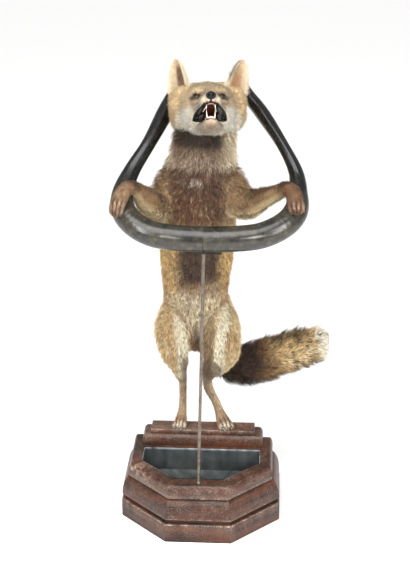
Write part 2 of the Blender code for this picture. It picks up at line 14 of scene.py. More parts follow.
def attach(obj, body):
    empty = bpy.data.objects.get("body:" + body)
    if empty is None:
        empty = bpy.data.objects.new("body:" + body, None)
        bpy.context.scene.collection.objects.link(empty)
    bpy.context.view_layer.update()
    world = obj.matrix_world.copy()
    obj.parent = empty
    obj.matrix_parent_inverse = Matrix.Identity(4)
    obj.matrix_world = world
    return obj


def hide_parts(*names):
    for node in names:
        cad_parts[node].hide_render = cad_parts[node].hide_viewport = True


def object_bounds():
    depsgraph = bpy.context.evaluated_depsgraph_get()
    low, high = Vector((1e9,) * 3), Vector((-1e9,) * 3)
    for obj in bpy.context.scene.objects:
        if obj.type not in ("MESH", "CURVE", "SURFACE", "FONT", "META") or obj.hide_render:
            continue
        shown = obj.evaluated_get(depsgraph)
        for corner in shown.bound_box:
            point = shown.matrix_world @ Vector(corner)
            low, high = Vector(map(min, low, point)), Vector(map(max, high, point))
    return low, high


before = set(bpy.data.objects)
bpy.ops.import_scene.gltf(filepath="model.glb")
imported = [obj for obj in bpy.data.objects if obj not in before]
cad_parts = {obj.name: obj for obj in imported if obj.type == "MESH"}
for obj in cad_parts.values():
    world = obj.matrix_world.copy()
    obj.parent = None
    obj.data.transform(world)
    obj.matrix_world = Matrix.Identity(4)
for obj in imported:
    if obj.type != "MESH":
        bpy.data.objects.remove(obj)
CAD_BOX = [[float(value) for value in corner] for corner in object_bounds()]
rng = np.random.default_rng(11)

# Stations along the body, in metres: x, y, z, half width and half depth over the coat, and the coat's
# depth. They follow the part's own, but the lower right thigh is drawn in by a few millimetres.
TRUNK = (
    (-0.014, 0.047, 0.374, 0.046, 0.038, 0.010),
    (-0.0145, 0.044, 0.420, 0.076, 0.066, 0.012),
    (-0.0172, 0.038, 0.476, 0.071, 0.061, 0.011),
    (-0.0165, 0.031, 0.530, 0.0745, 0.065, 0.010),
    (-0.014, 0.019, 0.580, 0.079, 0.073, 0.010),
    (-0.011, 0.012, 0.640, 0.0795, 0.079, 0.010),
    (-0.009, 0.006, 0.700, 0.082, 0.083, 0.011),
    (-0.0069, 0.004, 0.738, 0.083, 0.079, 0.012),
    (-0.0042, 0.004, 0.762, 0.077, 0.075, 0.012),
    (0.000, 0.005, 0.785, 0.0715, 0.071, 0.013),
    (0.0015, 0.008, 0.812, 0.068, 0.068, 0.014),
    (0.006, 0.012, 0.842, 0.064, 0.062, 0.014),
    (0.009, 0.018, 0.875, 0.056, 0.054, 0.012),
)
HIND_LEGS = {
    "right": (
        (-0.050, 0.050, 0.450, 0.036, 0.044, 0.009),
        (-0.060, 0.016, 0.404, 0.046, 0.060, 0.009),
        (-0.062, 0.000, 0.365, 0.036, 0.046, 0.008),
        (-0.0585, 0.002, 0.343, 0.0265, 0.036, 0.007),
        (-0.053, 0.012, 0.322, 0.0195, 0.028, 0.006),
        (-0.053, 0.030, 0.295, 0.0145, 0.023, 0.004),
        (-0.049, 0.052, 0.268, 0.0108, 0.018, 0.003),
        (-0.048, 0.055, 0.240, 0.0095, 0.0135, 0.0025),
        (-0.048, 0.049, 0.208, 0.0095, 0.0118, 0.0025),
        (-0.049, 0.036, 0.184, 0.0115, 0.012, 0.0025),
        (-0.0505, 0.012, 0.1765, 0.0145, 0.0125, 0.003),
        (-0.052, -0.006, 0.1755, 0.0135, 0.010, 0.003),
    ),
    "left": (
        (0.022, 0.050, 0.450, 0.036, 0.044, 0.009),
        (0.034, 0.016, 0.404, 0.046, 0.060, 0.009),
        (0.040, 0.000, 0.365, 0.041, 0.048, 0.008),
        (0.035, 0.002, 0.343, 0.036, 0.038, 0.007),
        (0.026, 0.012, 0.322, 0.0265, 0.030, 0.006),
        (0.0125, 0.030, 0.295, 0.0165, 0.023, 0.004),
        (0.0075, 0.052, 0.268, 0.0125, 0.018, 0.003),
        (0.010, 0.055, 0.240, 0.0115, 0.014, 0.0025),
        (0.0265, 0.049, 0.208, 0.0105, 0.012, 0.0025),
        (0.0375, 0.036, 0.184, 0.0125, 0.0125, 0.0025),
        (0.0465, 0.012, 0.1765, 0.0175, 0.013, 0.003),
        (0.052, -0.006, 0.1755, 0.016, 0.010, 0.003),
    ),
}
FORE_LEGS = {
    "right": (
        (-0.055, 0.000, 0.735, 0.042, 0.044, 0.009),
        (-0.078, -0.028, 0.708, 0.036, 0.036, 0.008),
        (-0.092, -0.058, 0.705, 0.030, 0.031, 0.007),
        (-0.107, -0.087, 0.729, 0.025, 0.0255, 0.005),
        (-0.121, -0.110, 0.752, 0.0185, 0.018, 0.0035),
        (-0.134, -0.133, 0.770, 0.016, 0.014, 0.003),
        (-0.147, -0.154, 0.766, 0.0165, 0.0135, 0.0028),
        (-0.157, -0.171, 0.748, 0.0155, 0.012, 0.0028),
        (-0.160, -0.176, 0.732, 0.012, 0.009, 0.0025),
    ),
    "left": (
        (0.045, 0.000, 0.740, 0.042, 0.044, 0.009),
        (0.070, -0.025, 0.715, 0.036, 0.036, 0.008),
        (0.095, -0.050, 0.712, 0.028, 0.030, 0.007),
        (0.128, -0.078, 0.735, 0.0205, 0.022, 0.005),
        (0.155, -0.104, 0.755, 0.0165, 0.0165, 0.0035),
        (0.172, -0.130, 0.772, 0.016, 0.0145, 0.003),
        (0.184, -0.152, 0.767, 0.017, 0.0135, 0.0028),
        (0.190, -0.169, 0.750, 0.0165, 0.012, 0.0028),
        (0.191, -0.175, 0.743, 0.013, 0.0095, 0.0025),
    ),
}
TAIL = (
    (-0.012, 0.070, 0.425, 0.026, 0.026, 0.010),
    (-0.004, 0.111, 0.389, 0.028, 0.028, 0.013),
    (0.010, 0.134, 0.347, 0.031, 0.031, 0.016),
    (0.034, 0.132, 0.303, 0.036, 0.036, 0.020),
    (0.066, 0.121, 0.272, 0.0425, 0.0425, 0.024),
    (0.115, 0.115, 0.278, 0.0445, 0.0445, 0.026),
    (0.165, 0.115, 0.297, 0.043, 0.043, 0.026),
    (0.215, 0.115, 0.316, 0.040, 0.040, 0.026),
    (0.246, 0.115, 0.326, 0.0355, 0.0355, 0.026),
)
# Horns from the seam at the front, round the side and up behind the head
HORN_SPREAD = {"right": 0.164, "left": 0.180}  # from the seam out to the widest point
HORN_UPPER = {"right": 0.0185, "left": 0.0155}  # radius above the waist
HORN_REACH, HORN_RISE = 0.310, 0.236
# Shares of the spread for the right horn and for the left one, which bows out further, then of the
# reach, the rise, the base radius and the upper radius, the same for both
HORN_ROUTE = (
    (0.32, 0.32, 0.00, 0.01, 1.00, 0.00),
    (0.62, 0.62, 0.03, 0.03, 1.00, 0.00),
    (0.86, 0.86, 0.10, 0.09, 1.00, 0.00),
    (0.99, 0.99, 0.19, 0.17, 0.96, 0.00),
    (1.00, 1.01, 0.28, 0.28, 0.65, 0.28),
    (0.91, 0.99, 0.40, 0.42, 0.25, 0.58),
    (0.73, 0.84, 0.55, 0.60, 0.00, 0.82),
    (0.56, 0.61, 0.77, 0.79, 0.00, 1.00),
    (0.45, 0.43, 0.91, 0.92, 0.00, 0.90),
    (0.43, 0.36, 1.00, 1.00, 0.00, 0.62),
)
RING_FRONT = (0.012, -0.200, 0.688)
HORN_RADIUS = 0.0262
GAP = 0.0003

HEAD_ORIGIN = Vector((0.0115, -0.010, 0.900))
HEAD_PITCH = math.radians(28.0)
HEAD_YAW = math.radians(5.5)
EYE_RADIUS = 0.0092
EYE_PLACE = np.array((0.0236, 0.0510, 0.0066))
# Forms along the head's forward axis: forward, up, half width and half height over the coat
SKULL = (
    (-0.062, -0.002, 0.042, 0.038),
    (-0.040, 0.004, 0.060, 0.049),
    (-0.015, 0.004, 0.068, 0.051),
    (0.010, 0.002, 0.062, 0.049),
    (0.030, -0.001, 0.050, 0.041),
    (0.046, -0.006, 0.038, 0.031),
    (0.062, -0.0085, 0.029, 0.0235),
    (0.082, -0.0085, 0.0225, 0.0185),
    (0.105, -0.0085, 0.018, 0.0155),
    (0.121, -0.0085, 0.014, 0.013),
)
# The skin of the muzzle stops short of the nose pad
SKIN_SKULL = (*SKULL[:-2], (0.100, -0.0085, 0.0180, 0.0155), (0.109, -0.0085, 0.0150, 0.0135))
# The jaw is drawn in a little from the part's
JAW = (
    (-0.020, -0.034, 0.043, 0.018),
    (0.020, -0.045, 0.034, 0.017),
    (0.050, -0.051, 0.026, 0.0145),
    (0.080, -0.053, 0.0185, 0.0120),
    (0.103, -0.051, 0.0135, 0.0095),
)
# Base, tip and lean of each ear
EARS = {
    "right": ((-0.0455, 0.004, 0.915), (-0.0560, 0.026, 0.9960), -0.45),
    "left": ((0.0640, 0.004, 0.919), (0.0795, 0.026, 0.9960), 0.45),
}
EAR_HALF_WIDTH, EAR_CUP = 0.0248, 0.015
EAR_REACH = 0.93  # share of the ear's height that its bare shell has
EAR_TAPER = 0.55  # how much narrower the ear is just under its round tip

HEAD_STEP = 0.0012
BODY_VOXEL = 0.0027
COAT_SHARE = 1.0
BODY_TUFTS, HEAD_TUFTS, EAR_TUFTS = (int(count * COAT_SHARE) for count in (178000, 90000, 25500))
PIECE_TRIANGLES = 190000  # the most that one piece of the coat may have
BOX_MARGIN = 0.0005  # how far inside the part's box the tufts end
CHUNK = 20000  # points measured at once
ROOT_DEPTH = 0.0008  # how far a tuft starts under the skin
PATCH = 0.0014  # half the size of a tuft's place on the map
JOIN_SOFT = 0.12  # how softly the coat of one limb runs into the next, as a share of their size
STAND_LEVEL = 0.1685  # just over the block that the hind feet stand on
# Share of the coat's depth that the skin lies under, for the lying tufts thin out towards their tips
COAT_PRESS = {"trunk": 0.72, "hind": 0.70, "fore": 0.66, "tail": 0.52, "head": 0.88}

# Landmarks of the open mouth, across, forward and up: under the nose, at the corner and over the chin
MOUTH_TOP = (0.0, 0.122, -0.018)
MOUTH_CORNER = (0.0325, 0.052, -0.037)
MOUTH_CHIN = (0.0, 0.107, -0.046)
VIEW_RISE = 0.25  # how much higher a place looks from straight in front for each unit forward


def lip_line(middle, back_power, level, count=9):
    """A lip from the middle to the corner of the mouth, as places across, forward and up."""
    rows = []
    for step in range(count):
        t = step / (count - 1)
        across = MOUTH_CORNER[0] * math.sin(t * math.pi / 2)
        forward = middle[1] + (MOUTH_CORNER[1] - middle[1]) * t**back_power
        rows.append((across, forward, middle[2] + (MOUTH_CORNER[2] - middle[2]) * level(t)))
    return tuple(rows)


UPPER_LIP = lip_line(MOUTH_TOP, 1.45, lambda t: t**1.3)
LOWER_LIP = lip_line(MOUTH_CHIN, 0.7, lambda t: t**2.2)


def srgb(red, green, blue):
    """Linear colour of an 8 bit screen colour."""
    value = np.array((red, green, blue)) / 255.0
    return np.where(value <= 0.04045, value / 12.92, ((value + 0.055) / 1.055) ** 2.4)


TAN = srgb(216, 182, 138)
GINGER = srgb(186, 134, 88)
GOLD = srgb(190, 156, 104)
CREAM = srgb(228, 213, 184)
WHITE = srgb(238, 226, 204)
# colour of the painted shade under the head
UNDER_HEAD_SHADE = srgb(122, 103, 84)
DARK = srgb(62, 46, 33)
CHEST = srgb(98, 66, 44)
RUST = srgb(142, 92, 56)
BLACK = srgb(24, 20, 18)
MOUTH_RED = srgb(70, 34, 28)


# Shapes


def smooth_rows(rows, count):
    """Reads evenly spaced rows from a Catmull-Rom curve through the given ones."""
    rows = np.array(rows, float)
    padded = np.vstack([2 * rows[0] - rows[1], rows, 2 * rows[-1] - rows[-2]])
    place = np.linspace(0, len(rows) - 1, count)
    first = np.minimum(place.astype(int), len(rows) - 2)
    t = (place - first)[:, None]
    p0, p1, p2, p3 = (padded[first + step] for step in range(4))
    curve = 2 * p1 + (p2 - p0) * t + (2 * p0 - 5 * p1 + 4 * p2 - p3) * t**2
    return (curve + (3 * p1 - p0 - 3 * p2 + p3) * t**3) / 2


def unit(vectors):
    """Vectors made one long."""
    length = np.linalg.norm(vectors, axis=-1, keepdims=True)
    return vectors / np.maximum(length, 1e-12)


def ramp(value, low, high):
    """0 below low, 1 above high, smooth between. High may be the smaller."""
    t = np.clip((value - low) / (high - low), 0.0, 1.0)
    return t * t * (3 - 2 * t)


def hashed(cells, seed):
    """A fixed random number from 0 to 1 for each cell of a grid."""
    number = cells[:, 0] * 73856093 ^ cells[:, 1] * 19349663 ^ cells[:, 2] * 83492791 ^ (seed + 1) * 2654435
    number = (number ^ (number >> 13)) * 1274126177
    return ((number ^ (number >> 16)) & 0xFFFF) / 65535.0


def noise(points, size, seed=0, octaves=1):
    """Smooth noise from -1 to 1 with lumps of about one size."""
    total, weight = 0.0, 0.0
    for octave in range(octaves):
        place = np.asarray(points) / (size * 0.5**octave) + 17.3 * octave
        base = np.floor(place).astype(np.int64)
        t = place - base
        t = t * t * (3 - 2 * t)
        value = 0.0
        for corner in range(8):
            step = np.array([(corner >> axis) & 1 for axis in range(3)])
            share = np.prod(np.where(step, t, 1 - t), axis=1)
            value = value + share * hashed(base + step, seed + octave)
        total = total + (2 * value - 1) * 0.5**octave
        weight += 0.5**octave
    return total / weight


def in_chunks(points, work):
    """What the work gives for each point, worked out for a part of the points at a time."""
    return np.concatenate([work(points[start : start + CHUNK]) for start in range(0, len(points), CHUNK)])


def linked(name, data):
    """A new object of the scene."""
    obj = bpy.data.objects.new(name, data)
    bpy.context.scene.collection.objects.link(obj)
    return obj


def mesh_object(name, points, faces):
    """An object from a table of points and one of equal-sided faces."""
    faces = np.asarray(faces, np.int32)
    mesh = bpy.data.meshes.new(name)
    mesh.vertices.add(len(points))
    mesh.vertices.foreach_set("co", np.asarray(points, np.float32).ravel())
    mesh.loops.add(faces.size)
    mesh.loops.foreach_set("vertex_index", faces.ravel())
    mesh.polygons.add(len(faces))
    mesh.polygons.foreach_set("loop_start", np.arange(0, faces.size, faces.shape[1], dtype=np.int32))
    mesh.polygons.foreach_set("use_smooth", np.full(len(faces), True))
    mesh.update(calc_edges=True)
    return linked(name, mesh)


def paint(obj, colours):
    """Stores a linear colour at each vertex."""
    layer = obj.data.color_attributes.new("tint", "FLOAT_COLOR", "POINT")
    rgba = np.ones((len(colours), 4), np.float32)
    rgba[:, :3] = np.clip(colours, 0, 1)
    layer.data.foreach_set("color", rgba.ravel())


def tables_of(mesh):
    """Points, normals and triangles of a mesh."""
    points, normals = (np.empty(len(mesh.vertices) * 3, np.float32) for _ in range(2))
    mesh.vertices.foreach_get("co", points)
    mesh.vertices.foreach_get("normal", normals)
    faces = np.empty(len(mesh.polygons) * 3, np.int32)
    mesh.polygons.foreach_get("vertices", faces)
    return points.reshape(-1, 3).astype(float), normals.reshape(-1, 3).astype(float), faces.reshape(-1, 3)


def tube_frames(rows, across):
    """Centres, directions along, and side and front axes of a tube's rows."""
    centres = rows[:, :3]
    along = unit(np.gradient(centres, axis=0))
    across = np.broadcast_to(np.asarray(across, float), centres.shape)
    side = unit(across - along * (along * across).sum(1, keepdims=True))
    return centres, along, side, np.cross(along, side)


def tube(rows, count, sides, across=(1, 0, 0), shape=None, round_ends=(True, True)):
    """Points and triangles of a closed tube. Shape may change the radii by row and angle."""
    rows = smooth_rows(rows, count)
    centres, along, side, front = tube_frames(rows, across)
    angle = np.linspace(0, 2 * math.pi, sides, endpoint=False)
    if shape is None:
        scale = np.ones((count, sides))
    else:
        scale = shape(np.linspace(0, 1, count)[:, None], angle[None, :])
    wide = rows[:, 3][:, None] * np.cos(angle) * scale
    deep = rows[:, -1][:, None] * np.sin(angle) * scale
    rings = centres[:, None] + side[:, None] * wide[..., None] + front[:, None] * deep[..., None]
    points = [rings.reshape(-1, 3)]
    index = np.arange(count * sides).reshape(count, sides)
    after = np.roll(index, -1, axis=1)
    quads = np.stack([index[:-1], after[:-1], after[1:], index[1:]], -1).reshape(-1, 4)
    faces = [quads[:, (0, 1, 2)], quads[:, (0, 2, 3)]]
    total = count * sides
    for end, sign, rounded in ((0, -1, round_ends[0]), (count - 1, 1, round_ends[1])):
        small = min(rows[end, 3], rows[end, -1]) * (1.0 if rounded else 0.0)
        ring = index[end]
        for part in (0.35, 0.65, 0.88):
            shrink = math.sqrt(1 - part**2) if rounded else 1 - part
            cap = centres[end] + (rings[end] - centres[end]) * shrink + sign * along[end] * small * part
            points.append(cap)
            fresh = np.arange(total, total + sides)
            total += sides
            turned, fresh_turned = np.roll(ring, -1), np.roll(fresh, -1)
            low, high = (ring, fresh) if sign > 0 else (fresh, ring)
            low_t, high_t = (turned, fresh_turned) if sign > 0 else (fresh_turned, turned)
            faces += [np.stack([low, low_t, high_t], -1), np.stack([low, high_t, high], -1)]
            ring = fresh
        points.append((centres[end] + sign * along[end] * small)[None])
        pole = np.full(sides, total)
        total += 1
        turned = np.roll(ring, -1)
        faces.append(np.stack([ring, turned, pole] if sign > 0 else [turned, ring, pole], -1))
    return np.vstack(points), np.vstack(faces)


def gathered(parts):
    """Several tables of points and triangles as one."""
    points, faces, start = [], [], 0
    for part_points, part_faces in parts:
        points.append(part_points)
        faces.append(np.asarray(part_faces) + start)
        start += len(part_points)
    return np.vstack(points), np.vstack(faces)


def applied(obj, *modifiers):
    """Applies modifiers, each given as its type and a dict of settings, and returns the new mesh."""
    for kind, settings in modifiers:
        modifier = obj.modifiers.new(kind.lower(), kind)
        for key, value in settings.items():
            setattr(modifier, key, value)
    evaluated = obj.evaluated_get(bpy.context.evaluated_depsgraph_get())
    mesh = bpy.data.meshes.new_from_object(evaluated)
    bpy.data.objects.remove(obj, do_unlink=True)
    return mesh


def surface(values, origin, step):
    """Points and triangles of the closed surface round the negative part of a grid of distances."""
    inside = values < 0
    shape = np.array(values.shape)
    steps = [np.array([(corner >> axis) & 1 for axis in range(3)]) for corner in range(8)]

    def shifted(grid, move):
        return grid[tuple(slice(move[a], shape[a] - 1 + move[a]) for a in range(3))]

    count = sum(shifted(inside, move).astype(np.int8) for move in steps)
    cells = np.argwhere((count > 0) & (count < 8))
    number = np.full(shape - 1, -1, np.int32)
    number[tuple(cells.T)] = np.arange(len(cells))
    total, hits = np.zeros((len(cells), 3)), np.zeros(len(cells))
    for first in range(8):
        for axis in range(3):
            if first >> axis & 1:
                continue
            start, end = steps[first], steps[first | 1 << axis]
            low, high = values[tuple((cells + start).T)], values[tuple((cells + end).T)]
            crossed = (low < 0) != (high < 0)
            t = np.where(crossed, low / np.where(crossed, low - high, 1.0), 0.0)
            total += np.where(crossed[:, None], start + t[:, None] * (end - start), 0.0)
            hits += crossed
    points = origin + step * (cells + total / hits[:, None])
    faces = []
    for axis in range(3):
        one, two = (axis + 1) % 3, (axis + 2) % 3
        low = [slice(1, -1)] * 3
        high = [slice(1, -1)] * 3
        low[axis], high[axis] = slice(0, -1), slice(1, None)
        low, high = inside[tuple(low)], inside[tuple(high)]
        for flip, found in ((False, low & ~high), (True, ~low & high)):
            at = np.argwhere(found)
            at[:, one] += 1
            at[:, two] += 1
            move_one, move_two = np.eye(3, dtype=int)[one], np.eye(3, dtype=int)[two]
            ring = [at, at - move_one, at - move_one - move_two, at - move_two]
            quad = np.stack([number[tuple(corner.T)] for corner in ring], -1)
            faces.append(quad[:, ::-1] if flip else quad)
    return points, np.vstack(faces)


# Head


def head_matrix():
    turn = Matrix.Rotation(HEAD_YAW, 4, "Z") @ Matrix.Rotation(-HEAD_PITCH, 4, "X")
    axes = Matrix(((1, 0, 0, 0), (0, -1, 0, 0), (0, 0, 1, 0), (0, 0, 0, 1)))
    return Matrix.Translation(HEAD_ORIGIN) @ turn @ axes


HEAD = np.array(head_matrix())
HEAD_TURN, HEAD_AT = HEAD[:3, :3], HEAD[:3, 3]


def to_head(points):
    return (np.asarray(points) - HEAD_AT) @ HEAD_TURN


def from_head(points):
    return np.asarray(points) @ HEAD_TURN.T + HEAD_AT


def folded(p):
    """Places across, forward and up, with the two sides of the head taken as one."""
    return [np.abs(p[0]), p[1], p[2]]


def blob(p, centre, radii):
    """Distance to an ellipsoid in the head's own axes."""
    scaled = [(p[axis] - centre[axis]) / radii[axis] for axis in range(3)]
    k0 = np.sqrt(sum(value**2 for value in scaled))
    k1 = np.sqrt(sum((value / radii[axis]) ** 2 for axis, value in enumerate(scaled)))
    return k0 * (k0 - 1) / np.maximum(k1, 1e-9)


def sweep(p, rows):
    """Distance to a tapering round form along the head's forward axis."""
    rows = smooth_rows(rows, 60)
    forward, up, wide, high = rows.T
    t = np.clip(p[1], forward[0], forward[-1])
    centre, w, h = (np.interp(t, forward, value) for value in (up, wide, high))
    end = np.minimum(w, h)
    scaled = (p[0] / w, (p[1] - t) / end, (p[2] - centre) / h)
    k0 = np.sqrt(sum(value**2 for value in scaled))
    k1 = np.sqrt((scaled[0] / w) ** 2 + (scaled[1] / end) ** 2 + (scaled[2] / h) ** 2)
    return k0 * (k0 - 1) / np.maximum(k1, 1e-9)


def fuse(first, second, soft):
    """Smooth union of two distances."""
    overlap = np.maximum(soft - np.abs(first - second), 0.0) / soft
    return np.minimum(first, second) - overlap**2 * soft / 4


def carve(first, second, soft):
    """The first form with the second taken out of it, softly."""
    return -fuse(-first, second, soft)


def strand(p, line, radius):
    """Distance to a round bead along a line of points."""
    best = None
    line = np.array(line, float)
    for start, end in zip(line, line[1:]):
        run = end - start
        offset = [p[axis] - start[axis] for axis in range(3)]
        t = np.clip(sum(offset[axis] * run[axis] for axis in range(3)) / (run @ run), 0, 1)
        distance = np.sqrt(sum((offset[axis] - t * run[axis]) ** 2 for axis in range(3)))
        best = distance if best is None else np.minimum(best, distance)
    return best - radius


def coat_depth_head(p):
    """How far the skin of the head lies under the coat's tips."""
    side, forward, up = folded(p)
    stations = (-0.06, -0.02, 0.02, 0.045, 0.08, 0.125)
    depth = np.interp(forward, stations, (0.010, 0.009, 0.006, 0.0032, 0.0022, 0.0012))
    cheek = ramp(side, 0.020, 0.072) * ramp(forward, 0.045, -0.015) * ramp(up, 0.045, 0.0)
    throat = ramp(up, -0.030, -0.050) * ramp(forward, 0.060, 0.010)
    chin = ramp(up, -0.044, -0.056) * ramp(forward, 0.104, 0.070)
    return depth + 0.006 * cheek + 0.005 * throat + 0.0025 * chin


EYE_LOOK = unit(np.array((0.45, 0.86, 0.22)))
EYE_LONG = np.array((0.80, -0.50, 0.22))
EYE_LONG = unit(EYE_LONG - EYE_LOOK * (EYE_LONG @ EYE_LOOK))
EYE_HIGH = np.cross(EYE_LONG, EYE_LOOK)
EYE_HIGH = EYE_HIGH * np.sign(EYE_HIGH[2])
LID_WIDTH, LID_HEIGHT = 0.0092, 0.0034


def eye_frame(p):
    """Position about the eye: along the lids, up and out."""
    offset = [value - place for value, place in zip(folded(p), EYE_PLACE)]
    return [sum(offset[axis] * way[axis] for axis in range(3)) for way in (EYE_LONG, EYE_HIGH, EYE_LOOK)]


def eye_opening(p):
    """Distance beyond the edge of the almond between the lids, and how far out."""
    along, high, out = eye_frame(p)
    width = np.clip(along / LID_WIDTH, -1.3, 1.3)
    edge = LID_HEIGHT * (1 - width**2)
    return np.abs(high - 0.0006 * (1 - width**2)) - edge, out


def mouth_reach(forward):
    """Half the inner width of the mouth."""
    return np.interp(forward, (0.0, 0.040, 0.075, 0.105, 0.118), (0.012, 0.0195, 0.0130, 0.0082, 0.0060))


def palate_ridge(side, forward):
    return np.sin(2 * math.pi * (forward + 8 * side**2) / 0.0072)


def mouth_depths(p):
    """Distance to the open space of the mouth."""
    side, forward, up = folded(p)
    upper, lower = np.array(UPPER_LIP), np.array(LOWER_LIP)
    top = np.interp(forward, upper[::-1, 1], upper[::-1, 2])
    bottom = np.interp(forward, lower[::-1, 1], lower[::-1, 2])
    wedge = np.maximum(np.maximum(up - top, bottom - up), 0.046 - forward)
    reach = mouth_reach(forward)
    roof = np.interp(forward, (0.0, 0.05, 0.10, 0.116), (-0.022, -0.0175, -0.0150, -0.0175))
    roof = roof + 0.0006 * palate_ridge(side, forward)
    roof = roof - 0.0065 * (side / reach) ** 2
    floor = np.interp(forward, (0.0, 0.05, 0.106, 0.110), (-0.036, -0.0455, -0.0475, -0.0420))
    floor = floor + 0.0035 * (side / reach) ** 2
    inner = np.maximum(np.maximum(up - roof, floor - up), (side - reach) * 0.9)
    inner = np.maximum(inner, np.maximum(0.004 - forward, forward - 0.125))
    return fuse(wedge, inner, 0.002)


def mouth_window(p):
    """Distance above zero outside the outline of the lips as seen from the front."""
    side, level = np.abs(p[0]), p[2] + VIEW_RISE * (p[1] - 0.1)
    edges = []
    for line in (UPPER_LIP, LOWER_LIP):
        line = np.array(line)
        edges.append(np.interp(side, line[:, 0], line[:, 2] + VIEW_RISE * (line[:, 1] - 0.1)))
    return np.maximum(np.maximum(level - edges[0], edges[1] - level), side - MOUTH_CORNER[0])


# Forms of the head over the skull and the jaw: centre, radii and softness of the join
HEAD_FORMS = (
    ((0.040, -0.018, -0.006), (0.0370, 0.042, 0.040), 0.012),  # ruff of the cheek
    ((0.028, 0.010, -0.014), (0.029, 0.036, 0.036), 0.012),  # front of the cheek
    ((0.050, -0.014, 0.018), (0.027, 0.026, 0.028), 0.012),  # under the ear
    ((0.013, 0.098, -0.0125), (0.0095, 0.026, 0.0110), 0.005),  # pad of the upper lip
    ((0.019, 0.022, 0.022), (0.017, 0.022, 0.015), 0.010),  # brow
    ((0.030, -0.014, 0.032), (0.024, 0.026, 0.0215), 0.010),  # foot of the ear
    ((0, -0.020, -0.016), (0.060, 0.048, 0.034), 0.012),  # throat
)
LIP_RADIUS, LIP_SOFT = 0.0019, 0.0022


def head_distance(p):
    """Distance to the skin of the head, with its eyelids and its open mouth."""
    skin = fuse(sweep(p, SKIN_SKULL), sweep(p, JAW), 0.006)
    mirrored = folded(p)
    for centre, radii, soft in HEAD_FORMS:
        skin = fuse(skin, blob(mirrored, centre, radii), soft)
    skin = skin + COAT_PRESS["head"] * coat_depth_head(p)
    skin = fuse(skin, blob(p, (0, 0.1165, -0.0070), (0.0085, 0.0070, 0.0070)), 0.004)
    lids = blob(mirrored, EYE_PLACE, (EYE_RADIUS + 0.0016,) * 3)
    skin = fuse(skin, lids, 0.005)
    fold, out = eye_opening(p)
    along = eye_frame(p)[0]
    brow_fold = np.abs(fold - 0.0030) - 0.0004
    skin = skin + 0.0007 * np.exp(-((brow_fold / 0.0007) ** 2)) * ramp(out, 0.0, 0.006)
    opening = np.maximum(fold, np.maximum(-out, np.abs(along) - LID_WIDTH))
    skin = carve(skin, opening, 0.0010)
    skin = carve(skin, mouth_depths(p), 0.0025)
    skin = fuse(skin, strand(mirrored, UPPER_LIP, LIP_RADIUS), LIP_SOFT)
    skin = fuse(skin, strand(mirrored, LOWER_LIP, LIP_RADIUS), LIP_SOFT)
    for shift, radius in ((0.0, 0.0026), (0.0042, LIP_RADIUS)):
        up = -0.037 + shift
        fold = ((0.0130, 0.084, up), (0.0190, 0.064, up), (0.0275, 0.051, up - shift / 2))
        skin = fuse(skin, strand(mirrored, fold, radius), LIP_SOFT)
    tongue = blob(p, (0, 0.052, -0.0455), (0.0125, 0.036, 0.0050))
    groove = 0.0012 * np.exp(-((p[0] / 0.0012) ** 2))
    skin = fuse(skin, tongue + groove, 0.0015)
    return carve(skin, blob(mirrored, EYE_PLACE, (EYE_RADIUS + 0.0002,) * 3), 0.0004)


def grid_surface(distance, low, high, step):
    """The surface of a distance function within a box."""
    axes = [np.arange(low[axis] - step, high[axis] + 2 * step, step) for axis in range(3)]
    p = np.meshgrid(*axes, indexing="ij")
    values = distance([value.astype(np.float32) for value in p])
    return surface(values, np.array([axis[0] for axis in axes]), step)


def ear_axes(side):
    """Base of an ear, with its rise to the tip, its way across and its way back."""
    base, tip, lean = (np.array(value) for value in EARS[side])
    rise = tip - base
    way = unit(rise)
    across = unit(np.array((1.0, 0, 0)) - way * way[0])
    across = unit(across + np.array((0, float(lean), 0)))
    back = unit(np.cross(across, rise))
    return base, rise * EAR_REACH, across, back * np.sign(back[1])


def ear_width(height):
    return EAR_HALF_WIDTH * (1 - EAR_TAPER * height) * np.sqrt(1 - height**4) + 0.0008


def ear_point(side, u, height, shift):
    """A point of the ear by its place across from -1 to 1, its height from 0 to 1 and its shift back."""
    base, rise, across, back = ear_axes(side)
    cup = EAR_CUP * (1 - u**2) * (1 - height) ** 0.7
    back_shift = cup + shift * (1 - 0.35 * u**2) * (1 - 0.35 * height)
    place = base + rise * height[..., None] + across * (ear_width(height) * u)[..., None]
    return place + back * back_shift[..., None]


def ear_parts(side, columns=23, levels=31):
    """The ear's thin closed shell."""
    u, height = np.meshgrid(np.linspace(-1, 1, columns), np.linspace(-0.12, 1, levels))
    low = np.minimum(height, 0.0)
    sheets = []
    for shift in (0.0012, 0.0036):
        sheet = ear_point(side, u, np.maximum(height, 0.0), np.full(u.shape, shift))
        sheet[..., 2] += low * 0.09
        sheets.append(sheet.reshape(-1, 3))
    index = np.arange(columns * levels).reshape(levels, columns)
    a, b, c, d = index[:-1, :-1], index[:-1, 1:], index[1:, 1:], index[1:, :-1]
    quads = np.stack([a, b, c, d], -1).reshape(-1, 4)
    rim = np.concatenate([index[0], index[1:, -1], index[-1, -2::-1], index[-2:0:-1, 0]])
    turned = np.roll(rim, -1)
    offset = columns * levels
    edge = np.stack([rim, rim + offset, turned + offset, turned], -1)
    faces = np.vstack([quads, quads[:, ::-1] + offset, edge])
    faces = np.vstack([faces[:, (0, 1, 2)], faces[:, (0, 2, 3)]])
    return np.vstack(sheets), faces


# Body


def body_tubes():
    """Name and rows of each tube that the body is made of."""
    tubes = [("trunk", TRUNK[::-1])]
    tubes += [(f"hind_{side}", rows) for side, rows in HIND_LEGS.items()]
    tubes += [(f"fore_{side}", rows) for side, rows in FORE_LEGS.items()]
    return tubes + [("tail", TAIL)]


def skin_rows(rows, name="trunk"):
    share = COAT_PRESS[name.split("_")[0]]
    return [(*row[:3], row[3] - share * row[5], row[4] - share * row[5]) for row in rows]


